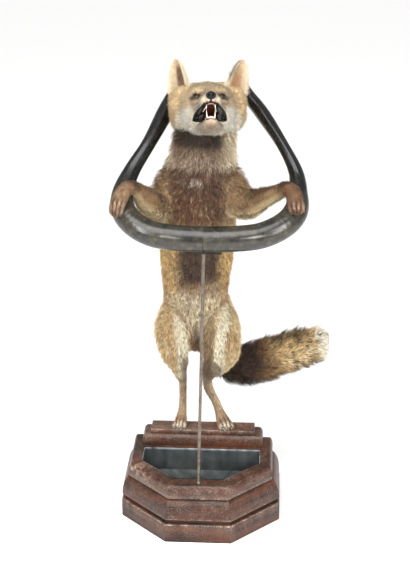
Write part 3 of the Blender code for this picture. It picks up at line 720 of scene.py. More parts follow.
TOES = (-0.78, -0.27, 0.27, 0.78)
TOE_GAPS = (-0.52, 0.0, 0.52)


def toe_rows(rows, spread, size_share=1.0, first=-3):
    """Four toes along the end of a leg, each with its own rows."""
    path = smooth_rows(skin_rows(rows, "hind")[first:], 6)
    centres, along, side, _front = tube_frames(path, (1, 0, 0))
    toes = []
    for place in TOES:
        fan = np.linspace(0.85, spread, 6)[:, None]
        forward = along[-1] * (0.0035 - 0.004 * abs(place)) * np.linspace(0, 1, 6)[:, None]
        middle = centres + side * (place * path[:, 3:4] * fan) + forward
        size = np.linspace(0.0044, 0.0050, 6)[:, None] * size_share
        toes.append(np.hstack([middle, size, size * 0.92]))
    return toes


class Guide:
    """The centre line of a tube: tells where a point of the skin lies along and round it."""

    def __init__(self, name, rows):
        self.name = name
        self.rows = smooth_rows(rows, 90)
        self.centres, self.along, self.side, self.front = tube_frames(self.rows, (1, 0, 0))

    def locate(self, points):
        size = self.rows[:, 3] * self.rows[:, 4]
        nearest = in_chunks(
            points, lambda some: (((some[:, None] - self.centres) ** 2).sum(2) / size).argmin(1)
        )
        offset = points - self.centres[nearest]
        x = (offset * self.side[nearest]).sum(1)
        y = (offset * self.front[nearest]).sum(1)
        row = self.rows[nearest]
        closeness = np.linalg.norm(offset, axis=1) / np.sqrt(row[:, 3] * row[:, 4])
        return {
            "t": nearest / (len(self.rows) - 1),
            "angle": np.arctan2(y, x),
            "close": closeness,
            "along": self.along[nearest],
            "across": x / row[:, 3],
            "rise": offset[:, 2] / row[:, 3],
            "coat": row[:, 5],
        }


GUIDES = [Guide(name, rows) for name, rows in body_tubes()]
NAMES = [guide.name for guide in GUIDES]


def where_on_body(points):
    """Which tube each point belongs to, its place there, and the lie of the coat."""
    found = [guide.locate(points) for guide in GUIDES]
    close = np.stack([item["close"] for item in found])
    weights = np.exp(-(close - close.min(0)) / JOIN_SOFT)
    weights /= weights.sum(0)
    region = close.argmin(0)
    pick = np.arange(len(points))
    keys = ("t", "angle", "across", "rise")
    spot = {key: np.stack([item[key] for item in found])[region, pick] for key in keys}
    spot["lie"] = unit(sum(weights[i][:, None] * item["along"] for i, item in enumerate(found)))
    spot["coat"] = sum(weights[i] * item["coat"] for i, item in enumerate(found))
    return spot | {"region": region, "weights": weights}


# Markings, shared by the skin and the coat


def mix(colours, colour, weight):
    return colours + (colour - colours) * np.clip(weight, 0, 1)[:, None]


def patch(points, centre, radii):
    """A soft oval spot, 1 in its middle."""
    return np.exp(-(((points - np.array(centre)) / np.array(radii)) ** 2).sum(1))


def layered(colours, *layers):
    """The colours with each layer, a colour and its weight, mixed over those before it."""
    for colour, weight in layers:
        colours = mix(colours, colour, weight)
    return colours


def band(value, low, high, soft):
    return ramp(value, low - soft, low + soft) * ramp(value, high + soft, high - soft)


def body_colour(points, spot):
    """Colour of the coat on the body."""
    x, y, z = points.T
    broad = noise(points, 0.022, 3, 2)
    fine = noise(points * (1, 1, 0.45), 0.006, 5, 2)
    z = z + 0.006 * broad
    mottle = noise(points * (1, 1, 0.7), 0.0045, 7, 2)
    middle = np.abs(x + 0.008) / 0.075
    front = ramp(y, 0.035, -0.015)
    colours = np.tile(CHEST, (len(points), 1))
    back = mix(GINGER, RUST, 0.5 + 0.5 * broad)
    back = mix(back, DARK, 0.35 * ramp(noise(points, 0.012, 9, 2), 0.1, 0.6))
    # front of the trunk, from the throat down
    colours = layered(
        colours,
        # grey neck
        (srgb(138, 114, 92), ramp(z, 0.778, 0.800)),
        # painted shade under the chin, a dark band
        (srgb(54, 39, 27), 0.95 * ramp(z, 0.818, 0.836) * ramp(middle, 0.92, 0.58)),
        # pale collar
        (srgb(190, 170, 148), 0.60 * band(z, 0.784, 0.806, 0.010) * ramp(fine, -0.7, 0.4)),
        # cream sides of the neck
        (srgb(228, 210, 176), 0.95 * ramp(middle, 0.48, 0.82) * ramp(z, 0.770, 0.795)),
        # white spot at the top of the chest
        (WHITE, 0.95 * patch(points, (-0.006, -0.08, 0.766), (0.030, 0.06, 0.009)) * ramp(fine, -0.2, 0.4)),
        # rust, paler shoulders and dark locks over the chest
        (RUST, 0.50 * band(z, 0.650, 0.745, 0.015) * ramp(broad, -0.2, 0.7)),
        (srgb(198, 168, 134), 0.85 * ramp(middle, 0.50, 0.90) * band(z, 0.640, 0.765, 0.015)),
        (DARK, 0.55 * band(z, 0.690, 0.758, 0.012) * ramp(fine + broad, 0.0, 0.7)),
        # gold and pale flecks lower down
        (srgb(206, 180, 134), 0.75 * ramp(z, 0.690, 0.655) * ramp(broad + 0.6 * middle, -0.1, 0.6)),
        (srgb(196, 164, 124), 0.45 * band(z, 0.650, 0.745, 0.01) * ramp(mottle, 0.15, 0.6)),
        # dark belly
        (srgb(70, 47, 31), 0.90 * band(z, 0.530, 0.635, 0.026) * ramp(middle + 0.20 * broad, 0.84, 0.30)),
        # golden flanks
        (srgb(202, 166, 108), 0.95 * ramp(z, 0.640, 0.610) * ramp(middle, 0.40, 0.75)),
        # the belly grows paler downwards
        (srgb(168, 138, 102), 0.7 * band(z, 0.500, 0.528, 0.012) * ramp(middle, 0.70, 0.40)),
        (srgb(232, 214, 178), 0.85 * ramp(z, 0.522, 0.484) * ramp(fine, -1.0, 0.4)),
        # brown between the thighs
        (srgb(132, 110, 84), 0.55 * ramp(z, 0.450, 0.410) * ramp(middle, 0.55, 0.20)),
        (back, (1 - front) * 0.9),
    )
    limb = {name: spot["weights"][index] for index, name in enumerate(NAMES)}
    t = spot["t"]
    rise = spot["rise"]
    gaps = np.min(np.abs(spot["across"][:, None] - TOE_GAPS), axis=1)
    for side, sign in (("right", -1), ("left", 1)):
        tone = mix(srgb(164, 132, 96), srgb(104, 76, 52), ramp(broad + mottle, -0.3, 0.6) * 0.7)
        tone = layered(
            tone,
            # foreleg: pale under, dark over
            (srgb(226, 202, 158), 0.85 * ramp(rise, -0.05, -0.55) * ramp(t, 0.66, 0.5)),
            (srgb(66, 48, 36), 0.75 * ramp(rise, 0.15, 0.7) * band(t, 0.30, 0.66, 0.06)),
            # paw, wrist and mottling
            (srgb(150, 122, 94) if side == "right" else srgb(116, 84, 60), 0.9 * ramp(t, 0.62, 0.72)),
            (srgb(60, 42, 32), 0.8 * patch(np.stack([t, rise], 1), (0.62, 0.5), (0.05, 0.5))),
            (srgb(92, 60, 40), 0.6 * ramp(t, 0.64, 0.72) * ramp(mottle, -0.1, 0.4)),
            # toes: a pinkish painted highlight, and painted shade in the gaps between them
            (srgb(206, 174, 146), 0.6 * ramp(t, 0.80, 0.88) * ramp(fine, -0.3, 0.3) * ramp(t, 0.99, 0.95)),
            (srgb(58, 38, 28), 0.85 * ramp(gaps, 0.17, 0.06) * ramp(t, 0.80, 0.86)),
        )
        colours = mix(colours, tone, limb[f"fore_{side}"] * 1.2)
        tone = mix(srgb(212, 184, 140), srgb(200, 162, 108), ramp(broad, -0.3, 0.6))
        # thigh: greyed in front, a cream strip, brown inside it
        tone = mix(tone, srgb(152, 132, 104), 0.6 * ramp(mottle + broad, 0.1, 0.8) * ramp(y, 0.03, -0.02))
        out = sign * (x + 0.0135)
        strip = np.interp(z, (0.30, 0.34, 0.38, 0.42, 0.47), (0.028, 0.030, 0.030, 0.034, 0.040))
        strip = strip + (0.0 if side == "right" else 0.020)  # the pale strip lies further out on the left
        tone = layered(
            tone,
            (srgb(244, 230, 198), 0.95 * ramp(np.abs(out - strip), 0.016, 0.006) * ramp(y, 0.04, 0.0)),
            (srgb(128, 104, 76), 0.8 * ramp(out - strip, -0.008, -0.016) * ramp(z, 0.45, 0.41)),
            # dark above the shin and between the legs
            (srgb(98, 74, 52), 0.8 * band(z, 0.286, 0.352, 0.012) * ramp(out - strip, 0.012, 0.0)),
            (DARK, 0.9 * patch(points, (-0.014, 0.02, 0.396), (0.013, 0.06, 0.022))),
            # shank and foot
            (srgb(158, 134, 108), 0.8 * ramp(t, 0.42, 0.52)),
            (srgb(112, 86, 64), 0.6 * ramp(t, 0.5, 0.6) * ramp(fine + broad, 0.0, 0.6)),
            # painted highlight, pale down the outer side of the shank
            (srgb(222, 198, 164), 0.6 * band(t, 0.46, 0.80, 0.03) * ramp(spot["across"] * sign, 0.1, 0.7)),
            (srgb(172, 142, 114), 0.8 * ramp(t, 0.76, 0.88)),
            # toes with painted shade in the gaps between them, and pale tips
            (srgb(84, 60, 42), 0.8 * ramp(gaps, 0.15, 0.05) * ramp(t, 0.86, 0.92)),
            (srgb(236, 220, 196), 0.8 * ramp(t, 0.94, 0.98) * ramp(gaps, 0.06, 0.16)),
            (GINGER, 0.7 * ramp(y, 0.045, 0.075) * ramp(t, 0.5, 0.4)),
        )
        colours = mix(colours, tone, limb[f"hind_{side}"] * 1.2)
    # tail: near black at its start, brown, then gold with black tips above and below, and a pale end
    rise = spot["rise"] / 0.68
    tone = mix(srgb(122, 90, 58), srgb(186, 156, 108), ramp(t + 0.03 * broad, 0.66, 0.76))
    tone = layered(
        tone,
        (srgb(56, 37, 25), 0.95 * ramp(t + 0.04 * broad - 0.03 * rise, 0.69, 0.60)),
        (CREAM, 0.55 * ramp(t, 0.70, 0.82) * ramp(np.abs(rise), 0.6, 0.2) * ramp(fine, -0.5, 0.4)),
        (BLACK, 0.85 * ramp(rise + 0.25 * fine, 0.62, 0.95) * band(t, 0.70, 0.93, 0.03)),
        (BLACK, 0.90 * ramp(rise + 0.25 * fine, -0.38, -0.78) * ramp(t, 0.99, 0.95)),
        (GINGER, 0.8 * ramp(t, 0.25, 0.12)),
        (srgb(238, 226, 200), ramp(t + 0.02 * fine, 0.955, 0.995)),
    )
    colours = mix(colours, tone, limb["tail"] * 1.15)
    shade = 1 + 0.20 * noise(points, 0.0035, 21) + 0.16 * mottle
    return colours * shade[:, None]


def head_colour(points):
    """Colour of the coat on the head, from its own axes."""
    p = to_head(points)
    side, forward, up = np.abs(p[:, 0]), p[:, 1], p[:, 2]
    mirrored = np.stack([side, forward, up], 1)
    broad = noise(points, 0.016, 31, 2)
    fine = noise(points, 0.0045, 33, 2)
    colours = np.tile(TAN, (len(points), 1))
    colours = layered(
        colours,
        (srgb(214, 182, 136), 0.6 * ramp(broad, -0.4, 0.5)),
        (GINGER, 0.30 * ramp(up, 0.0, 0.030) * ramp(forward, -0.01, 0.03) * ramp(side, 0.040, 0.015)),
        (
            srgb(164, 118, 76),
            0.3 * ramp(forward, 0.02, 0.05) * ramp(side, 0.018, 0.008) * ramp(up, -0.004, 0.006),
        ),
        # bright forehead
        (srgb(234, 200, 150), 0.8 * ramp(up, 0.0, 0.02) * ramp(forward, -0.02, 0.02)),
    )
    specks = ramp(noise(points, 0.0026, 37), 0.25, 0.6) * ramp(forward, -0.005, 0.03)
    colours = mix(colours, DARK, 0.7 * specks * ramp(up, 0.002, 0.010) * ramp(side, 0.045, 0.02))
    colours = mix(colours, GINGER, 0.35 * ramp(broad, 0.0, 0.7) * ramp(up, 0.0, 0.02))
    line = -0.010 + 0.10 * np.clip(forward - 0.03, -0.1, 0.05) - 0.12 * np.clip(side - 0.05, 0, 0.03)
    pale = ramp(up + 0.004 * broad, line + 0.006, line - 0.008)
    # cream cheeks and throat
    colours = mix(colours, CREAM, 0.95 * pale)
    colours = mix(colours, WHITE, 0.8 * pale * ramp(side, 0.062, 0.045))
    stripe = ramp(forward, 0.045, 0.065) * ramp(up, -0.002, -0.009) * ramp(side, 0.004, 0.008)
    colours = mix(colours, srgb(192, 174, 146), 0.9 * stripe)
    tear = strand(mirrored.T, ((0.0190, 0.061, 0.004), (0.0165, 0.072, -0.002), (0.0140, 0.086, -0.008)), 0.0)
    # tear line
    colours = mix(colours, srgb(88, 62, 44), 0.75 * ramp(tear, 0.0055, 0.0015))
    under = patch(mirrored, (0.030, 0.055, -0.006), (0.010, 0.012, 0.005))
    # ruddy spot under the eye
    colours = mix(colours, srgb(198, 138, 104), 0.55 * under)
    # golden edge of the ruff
    colours = mix(colours, GOLD, 0.6 * ramp(side, 0.052, 0.066) * ramp(forward, 0.03, 0.0))
    chin = patch(mirrored, (0.0, 0.102, -0.052), (0.009, 0.022, 0.015))
    # tan chin
    colours = mix(colours, srgb(132, 92, 62), 0.9 * chin)
    under_lip = patch(mirrored, (0.0, 0.095, -0.062), (0.005, 0.014, 0.009))
    colours = mix(colours, srgb(136, 92, 58), 0.75 * under_lip)
    nape = ramp(forward, -0.035, -0.055)
    colours = mix(colours, GINGER, nape * 0.8)
    # painted shade under the head, grey-brown along its lower edge
    shade_under_head = ramp(up + 0.25 * forward, -0.062, -0.074) * ramp(forward, 0.05, 0.02)
    colours = mix(colours, UNDER_HEAD_SHADE, 0.8 * shade_under_head)
    _edge, out = eye_opening(mirrored.T)
    along, high, _out = eye_frame(mirrored.T)
    ring = np.hypot(np.where(along > 0, along / 0.0165, along / 0.0140), (high + 0.12 * along) / 0.0068)
    facing = ramp(out, -0.010, -0.002)
    colours = mix(colours, srgb(92, 64, 42), 0.7 * ramp(ring, 1.22, 0.95) * facing)
    # black lids
    colours = mix(colours, BLACK, ramp(ring, 1.05, 0.80) * facing)
    shade = 1 + 0.12 * noise(points, 0.0028, 41) + 0.08 * fine
    return colours * shade[:, None]


def bare_skin(p):
    """How far a point of the head is bare black lip, mouth lining or nose, from 0 to 1."""
    mirrored = folded(p)
    lips = np.minimum(strand(mirrored, UPPER_LIP, 0.0), strand(mirrored, LOWER_LIP, 0.0))
    groove = strand(mirrored, ((0, 0.1290, -0.0090), (0, 0.1235, -0.0165)), 0.0)
    bare = np.maximum(ramp(lips, 0.0042, 0.0030), ramp(groove, 0.0026, 0.0016))
    inside = ramp(mouth_depths(p), 0.0022, 0.0012)
    inside = np.maximum(inside, ramp(mouth_window(p), 0.0012, 0.0) * (p[1] > 0.020))
    edge, out = eye_opening(p)
    eye = ramp(edge, 0.0016, 0.0006) * (out > 0.001) * (np.abs(eye_frame(p)[0]) < LID_WIDTH + 0.001)
    return np.maximum(np.maximum(bare, inside), eye)


def mouth_colour(p, colours):
    """Paints the lips black and the lining of the mouth."""
    side, forward, up = folded(p)
    colours = mix(colours, srgb(12, 7, 5), bare_skin(p))
    reach = mouth_reach(forward)
    within = ramp(side, reach + 0.0012, reach - 0.0006) * ramp(side, 0.0095, 0.0080)
    within = within * ramp(mouth_depths(p), 0.003, 0.0015)
    colours = mix(colours, MOUTH_RED, within * ramp(up, -0.034, -0.028) * ramp(forward, 0.112, 0.106))
    ridge = palate_ridge(side, forward)
    colours = layered(
        colours,
        (srgb(120, 66, 54), within * ramp(up, -0.030, -0.024) * ramp(ridge, -0.2, -0.9) * 0.8),
        (
            srgb(118, 84, 78),
            within * ramp(forward, 0.098, 0.104) * ramp(forward, 0.113, 0.108) * ramp(up, -0.026, -0.020),
        ),
        (srgb(122, 58, 50), within * ramp(up, -0.030, -0.036) * ramp(forward, 0.100, 0.085)),
    )
    return colours


def build_skin():
    """One skin over the whole fox."""
    points, quads = grid_surface(head_distance, (-0.080, -0.088, -0.082), (0.080, 0.131, 0.054), HEAD_STEP)
    head_points = from_head(points)
    head_faces = np.vstack([quads[:, (0, 1, 2)], quads[:, (0, 2, 3)]])
    a, b, c = (head_points[head_faces[:, i]] for i in range(3))
    if (np.cross(b - a, c - a) * a).sum() < 0:
        head_faces = head_faces[:, ::-1]

    tubes = []
    for name, rows in body_tubes():
        tubes.append(tube(skin_rows(rows, name), 60, 32))
        if name.startswith("hind"):
            tubes += [tube(toe, 12, 12) for toe in toe_rows(rows, 1.05)]
        if name.startswith("fore"):
            tubes += [tube(toe, 12, 12) for toe in toe_rows(rows, 1.0, 1.12)]
    raw = mesh_object("raw_body", *gathered(tubes))
    remesh = ("REMESH", {"mode": "VOXEL", "voxel_size": BODY_VOXEL})
    body = applied(raw, remesh, ("SMOOTH", {"factor": 0.5, "iterations": 5}), ("TRIANGULATE", {}))
    body_points, _normals, body_faces = tables_of(body)

    ears = [ear_parts(side) for side in EARS]
    points, faces = gathered([(head_points, head_faces), (body_points, body_faces), *ears])
    kinds = np.repeat([0, 1, 2], [len(head_points), len(body_points), sum(len(ear[0]) for ear in ears)])
    skin = mesh_object("skin", points, faces)
    colours = np.empty((len(points), 3))
    on_head, on_body, on_ear = (kinds == kind for kind in range(3))
    p = to_head(points[on_head]).T
    # the skin is painted darker than the coat over it, as painted shade deep in the coat
    colours[on_head] = mouth_colour(p, head_colour(points[on_head]) * 0.9)
    colours[on_body] = body_colour(points[on_body], where_on_body(points[on_body])) * 0.7
    colours[on_ear] = ear_colour(points[on_ear])
    paint(skin, colours)
    wet = np.zeros(len(points))
    wet[on_head] = bare_skin(p)
    layer = skin.data.attributes.new("bare", "FLOAT", "POINT")
    layer.data.foreach_set("value", wet.astype(np.float32))
    return skin, kinds


def ear_place(points):
    """Side, place across, height and depth of points on the ears."""
    side = np.where(points[:, 0] > HEAD_AT[0], 1, 0)
    u, height, depth = np.empty(len(points)), np.empty(len(points)), np.empty(len(points))
    for number, name in enumerate(("right", "left")):
        chosen = side == number
        base, rise, across, back = ear_axes(name)
        solved = (points[chosen] - base) @ np.linalg.inv(np.stack([rise, across, back]))
        h = np.clip(solved[:, 0], 0, 1)
        height[chosen] = h
        u[chosen] = np.clip(solved[:, 1] / ear_width(h), -1, 1)
        depth[chosen] = solved[:, 2] - EAR_CUP * (1 - u[chosen] ** 2) * (1 - h) ** 0.7
    return side, u, height, depth


def ear_colour(points):
    side, u, height, depth = ear_place(points)
    broad = noise(points, 0.010, 51, 2)
    colours = np.tile(srgb(180, 156, 124), (len(points), 1))
    left_well = ramp(np.abs(u - 0.05), 0.75, 0.45) * ramp(height, 0.70, 0.45) * ramp(height, -0.05, 0.10)
    right_well_shaded = ramp(np.abs(u - 0.10), 0.60, 0.34) * ramp(height, 0.90, 0.66)
    well = np.where(side == 1, left_well, right_well_shaded)
    # the right ear's well is painted dark as painted shade in its cup; the left ear's well is ginger
    well_colour_and_shade = np.where((side == 1)[:, None], srgb(166, 122, 88), srgb(78, 48, 32))
    colours = mix(colours, well_colour_and_shade, well * (0.80 + 0.35 * broad))
    colours = mix(colours, srgb(206, 190, 162), 0.9 * ramp(np.abs(u), 0.62, 0.85))
    behind = ramp(depth, 0.0022, 0.0032)
    rear = mix(GINGER, BLACK, ramp(height + 0.1 * broad, 0.18, 0.42))
    colours = mix(colours, rear, behind)
    thin_rim = (side == 1) * ramp(-u, 0.90, 0.97) * ramp(height, 0.35, 0.5)
    colours = mix(colours, BLACK, 0.85 * thin_rim)
    return colours * (1 + 0.12 * noise(points, 0.003, 53))[:, None]


# Coat


class Tufts:
    """Collects tufts and writes them out as meshes."""

    def __init__(self):
        self.groups = []

    def add(self, roots, normals, lie, size, colours, uv, shade_and_light_gains=(0.45, 1.55), bent=True):
        """Tufts from the roots along the lie. Size is their length, the height that they rise to over
        the skin and their width, and gains are how bright they are at the root and at the tip: the
        darker root is painted shade between the tufts over the hair's own darker base, and the brighter
        tip is painted light over its own paler tip."""
        count = len(roots)
        length, height, width = size
        lie = unit(lie - normals * (lie * normals).sum(1, keepdims=True))
        side = np.cross(lie, normals)
        way = unit(lie + side * rng.normal(0, 0.16, count)[:, None])
        sway = side * rng.normal(0, 0.10, count)[:, None]
        flat = np.sqrt(np.maximum(length**2 - height**2, (0.3 * length) ** 2))
        # the gain of each ring darkens the tuft towards its root as painted shade between the tufts
        rings = [(0.0, 1.0, shade_and_light_gains[0]), (0.48, 0.85, 0.92)][: 2 if bent else 1]  # place, width and gain
        points, tones = [], []
        for share, wide, gain in rings:
            rise = height * (1 - (1 - share) ** 2) if share else np.full(count, -ROOT_DEPTH)
            centre = roots + way * (flat * share)[:, None] + normals * rise[:, None]
            centre = centre + sway * (length * share**2)[:, None]
            for turn in (90, 210, 330):
                across = math.cos(math.radians(turn)) * wide
                up = math.sin(math.radians(turn)) * wide * 0.4
                points.append(centre + (side * across + normals * up) * (width / 2)[:, None])
                tones.append(colours * gain)
        points.append(roots + way * flat[:, None] + normals * height[:, None] + sway * length[:, None])
        tones.append(colours * shade_and_light_gains[1])
        self.groups.append((bent, np.stack(points, 1), np.stack(tones, 1), uv))

    def write(self, name, material):
        """Makes coat pieces, each under the limit of triangles."""
        pieces = []
        for bent in (False, True):
            chosen = [group for group in self.groups if group[0] == bent]
            if not chosen:
                continue
            points, tones, uv = (np.concatenate([group[i] for group in chosen]) for i in (1, 2, 3))
            faces = [(0, 2, 1)]
            last = points.shape[1] - 1
            for ring in range(0, last - 3, 3):
                for step in range(3):
                    a, b = ring + step, ring + (step + 1) % 3
                    faces += [(a, b, b + 3), (a, b + 3, a + 3)]
            top = last - 3
            faces += [(top + step, top + (step + 1) % 3, last) for step in range(3)]
            faces = np.array(faces)
            spread = np.zeros((last + 1, 2))
            for index in range(last):
                spread[index] = ((index % 3 - 1) * PATCH, -PATCH + 2 * PATCH * (index // 3) / (last // 3))
            spread[last] = (0.0, PATCH)
            number = math.ceil(len(points) / (PIECE_TRIANGLES // len(faces)))
            for part in np.array_split(rng.permutation(len(points)), number):
                flat = points[part].reshape(-1, 3)
                flat = np.clip(flat, np.array(CAD_BOX[0]) + BOX_MARGIN, np.array(CAD_BOX[1]) - BOX_MARGIN)
                table = (faces[None] + np.arange(len(part))[:, None, None] * (last + 1)).reshape(-1, 3)
                kind = "long" if bent else "short"
                piece = mesh_object(f"{name}_{kind}_{len(pieces)}", flat, table)
                paint(piece, tones[part].reshape(-1, 3))
                layer = piece.data.uv_layers.new(name="OFBake")
                patches = (uv[part][:, None] * 0.99 + 0.005 + spread).reshape(-1, 2)
                layer.data.foreach_set("uv", np.clip(patches[table.ravel()], 0, 1).astype(np.float32).ravel())
                piece.data.materials.append(material)
                pieces.append(piece)
        return pieces


def scattered(skin, kinds, kind, count):
    """Random places by area on one of the forms joined in the skin, with their normals."""
    points, normals, faces = tables_of(skin.data)
    faces = faces[kinds[faces[:, 0]] == kind]
    a, b, c = (points[faces[:, i]] for i in range(3))
    area = np.linalg.norm(np.cross(b - a, c - a), axis=1) / 2
    chosen = rng.choice(len(faces), count, p=area / area.sum())
    r1, r2 = np.sqrt(rng.random(count)), rng.random(count)
    weights = np.stack([1 - r1, r1 * (1 - r2), r1 * r2], 1)[..., None]
    corners = faces[chosen]
    return (points[corners] * weights).sum(1), unit((normals[corners] * weights).sum(1))


# Rise and length as shares of the coat's depth, width, and the share of the long tufts that is kept
TUFT_PLANS = {
    "trunk": (0.84, 1.35, 0.0012, 0.56),
    "hind": (0.95, 1.6, 0.0011, 0.5),
    "fore": (1.10, 1.4, 0.0012, 0.5),
    "tail": (0.80, 1.25, 0.0017, 0.8),
}


def body_coat(skin, kinds, material):
    roots, normal = scattered(skin, kinds, 1, BODY_TUFTS)
    spot = where_on_body(roots)
    keep = (head_rough(roots) >= -0.004) & (roots[:, 2] > STAND_LEVEL)
    for side in HORN_SPREAD:
        keep &= horn_distance(roots, side) > 0.0008
    roots, normal = roots[keep], normal[keep]
    spot = {key: value[:, keep] if key == "weights" else value[keep] for key, value in spot.items()}
    names = np.array(NAMES)[spot["region"]]
    colours = body_colour(roots, spot)
    wander = np.stack([noise(roots, 0.012, seed, 2) for seed in (61, 62, 63)], 1)
    locks = np.stack([noise(roots, 0.006, seed) for seed in (64, 65, 66)], 1)
    lie = spot["lie"] + 0.35 * wander + 0.38 * locks + np.array((0, 0, -0.10))
    ragged = noise(roots, 0.0055, 67)
    streaked = noise(roots * (1, 1, 0.6), 0.0042, 68)
    coat = spot["coat"]
    pieces = []
    for kind, (lift, stretch, width, share) in TUFT_PLANS.items():
        at = np.flatnonzero(np.char.startswith(names, kind))
        uv = np.stack([spot["angle"][at] / (2 * math.pi) + 0.5, spot["t"][at]], 1)
        if kind in ("hind", "fore"):
            uv[:, 0] = uv[:, 0] * 0.49 + np.where(np.char.endswith(names[at], "left"), 0.505, 0.0)
        height = coat[at] * lift * rng.uniform(0.70, 1.15, len(at)) * (1 + 0.38 * ragged[at])
        length = np.maximum(height * stretch, 0.006) * rng.uniform(0.85, 1.2, len(at))
        tone = colours[at] * (rng.uniform(0.62, 1.38, len(at)) * (1 + 0.40 * streaked[at]))[:, None]
        long_ones = coat[at] > 0.0055
        tufts = Tufts()
        for bent, rows in ((True, np.flatnonzero(long_ones)), (False, np.flatnonzero(~long_ones))):
            if not len(rows):
                continue
            if bent:
                rows = rows[rng.random(len(rows)) < share]
            pick = at[rows]
            wide = width * rng.uniform(0.7, 1.3, len(rows)) * (1.0 if bent else 0.75)
            size = (length[rows], height[rows], wide)
            tufts.add(roots[pick], normal[pick], lie[pick], size, tone[rows], uv[rows], bent=bent)
        pieces += tufts.write(f"coat_{kind}", material)
    return pieces


def head_coat(skin, kinds, material):
    roots, normal = scattered(skin, kinds, 0, HEAD_TUFTS)
    p = to_head(roots)
    bare = bare_skin(p.T)
    nose = blob(p.T, (0, 0.1240, -0.0055), (0.0102, 0.0088, 0.0088))
    keep = (bare < 0.35) & (nose > 0.0004) & (mouth_depths(p.T) > 0.002)
    roots, normal, p = roots[keep], normal[keep], p[keep]
    side, forward, up = np.abs(p[:, 0]), p[:, 1], p[:, 2]
    depth = coat_depth_head(p.T)
    ruff = ramp(side, 0.030, 0.058) * ramp(forward, 0.035, 0.0) * ramp(up, 0.040, 0.0)
    throat = ramp(up, -0.030, -0.050) * ramp(forward, 0.060, 0.015)
    lie = np.stack([5 * p[:, 0], np.full(len(p), -1.0), np.full(len(p), 0.15)], 1)
    lie[:, 0] += np.sign(p[:, 0]) * 0.30 * ruff
    lie[:, 2] += -0.75 * ruff - 0.10 * throat + 0.25 * ramp(up, 0.0, 0.03)
    lie = lie @ HEAD_TURN.T
    wander = np.stack([noise(roots, 0.009, seed, 2) for seed in (71, 72, 73)], 1)
    locks = np.stack([noise(roots, 0.005, seed) for seed in (74, 75, 76)], 1)
    lie = lie + 0.25 * wander + 0.35 * locks
    streaked = 1 + 0.30 * noise(roots, 0.0034, 77)
    colours = head_colour(roots) * (rng.uniform(0.68, 1.32, len(roots)) * streaked)[:, None]
    angle = np.arctan2(p[:, 0], p[:, 2])
    uv = np.stack([angle / (2 * math.pi) + 0.5, (forward + 0.09) / 0.23], 1)
    height = depth * rng.uniform(0.7, 1.05, len(roots)) * (1 + 0.30 * noise(roots, 0.005, 78))
    length = depth * (1.9 + 1.1 * ramp(forward, 0.0, 0.05)) * rng.uniform(0.85, 1.2, len(roots))
    width = np.interp(depth, (0.0012, 0.004, 0.012), (0.0006, 0.0010, 0.0016))
    width = width * rng.uniform(0.7, 1.3, len(roots))
    long_ones = depth * rng.uniform(0.7, 1.35, len(roots)) > 0.0075
    tufts = Tufts()
    picked = np.flatnonzero(long_ones)
    picked = picked[rng.random(len(picked)) < 0.55]
    short_ones = np.flatnonzero(~long_ones)
    # the gains paint darker roots as painted shade between the tufts and brighter tips as painted light
    for pick, shade_and_light_gains, bent in ((picked, (0.45, 1.55), True), (short_ones, (0.78, 1.35), False)):
        size = (length[pick], height[pick], width[pick])
        tufts.add(roots[pick], normal[pick], lie[pick], size, colours[pick], uv[pick], shade_and_light_gains, bent)
    return tufts.write("coat_head", material)


def ear_coat(skin, kinds, material):
    roots, normal = scattered(skin, kinds, 2, EAR_TUFTS)
    side, u, height, depth = ear_place(roots)
    keep = (height > 0.02) & (height < 0.99)
    roots, normal, side, u, height, depth = (value[keep] for value in (roots, normal, side, u, height, depth))
    right_rise, left_rise = (unit(np.subtract(tip, base)) for base, tip, _lean in EARS.values())
    rise = np.where((side == 1)[:, None], left_rise, right_rise)
    behind = depth > 0.0025
    edge = ramp(np.abs(u), 0.45, 0.8) * (1 - 0.8 * height**2)
    inward = np.stack([-np.sign(u), np.zeros(len(u)), np.zeros(len(u))], 1)
    lie = rise + inward * (np.where(rng.random(len(u)) < 0.6, -0.45, 0.8) * edge * ~behind)[:, None]
    colours = ear_colour(roots) * rng.uniform(0.85, 1.15, len(roots))[:, None]
    colours = np.where(((~behind) & (edge > 0.3))[:, None], colours * 1.05, colours)
    rise_to = np.where(behind, 0.0020, 0.0016 + 0.0020 * edge) * rng.uniform(0.7, 1.1, len(roots))
    length = np.where(behind, 0.007, 0.006 + 0.008 * edge) * rng.uniform(0.8, 1.2, len(roots))
    length *= ramp(height, 1.0, 0.7) * 0.7 + 0.3
    width = 0.0009 * rng.uniform(0.7, 1.3, len(roots))
    uv = np.stack([u * 0.12 + 0.25 * (side + 2 * behind) + 0.125, height], 1)
    tufts = Tufts()
    tufts.add(roots, normal, lie, (length, rise_to, width), colours, uv, bent=False)
    return tufts.write("coat_ears", material)


def head_rough(points):
    """A quick distance to the skin of the head."""
    p = to_head(points).T
    skin = fuse(sweep(p, SKULL), blob(p, (0, -0.020, -0.019), (0.062, 0.048, 0.037)), 0.01)
    return skin + coat_depth_head(p)


def horn_rows(side):
    """Stations of one horn after the seam, on to the tip: x, y, z and radius."""
    sign = -1 if side == "right" else 1
    rows = []
    for out_right, out_left, back, up, base, upper in HORN_ROUTE:
        out = HORN_SPREAD[side] * (out_right if side == "right" else out_left)
        y, z = RING_FRONT[1] + back * HORN_REACH, RING_FRONT[2] + up * HORN_RISE
        rows.append((RING_FRONT[0] + sign * out, y, z, base * HORN_RADIUS + upper * HORN_UPPER[side]))
    return rows


def horn_distance(points, side):
    rows = smooth_rows(horn_rows(side), 60)
    return in_chunks(
        points, lambda some: (np.sqrt(((some[:, None] - rows[:, :3]) ** 2).sum(2)) - rows[:, 3]).min(1)
    )


# Finishes


def new_material(name):
    mat = bpy.data.materials.new(name)
    mat.use_nodes = True
    tree = mat.node_tree
    return mat, tree, tree.nodes["Principled BSDF"]


def add_node(tree, kind, **values):
    node = tree.nodes.new(kind)
    for key, value in values.items():
        if key in node.inputs:
            node.inputs[key].default_value = value
        else:
            setattr(node, key, value)
    return node


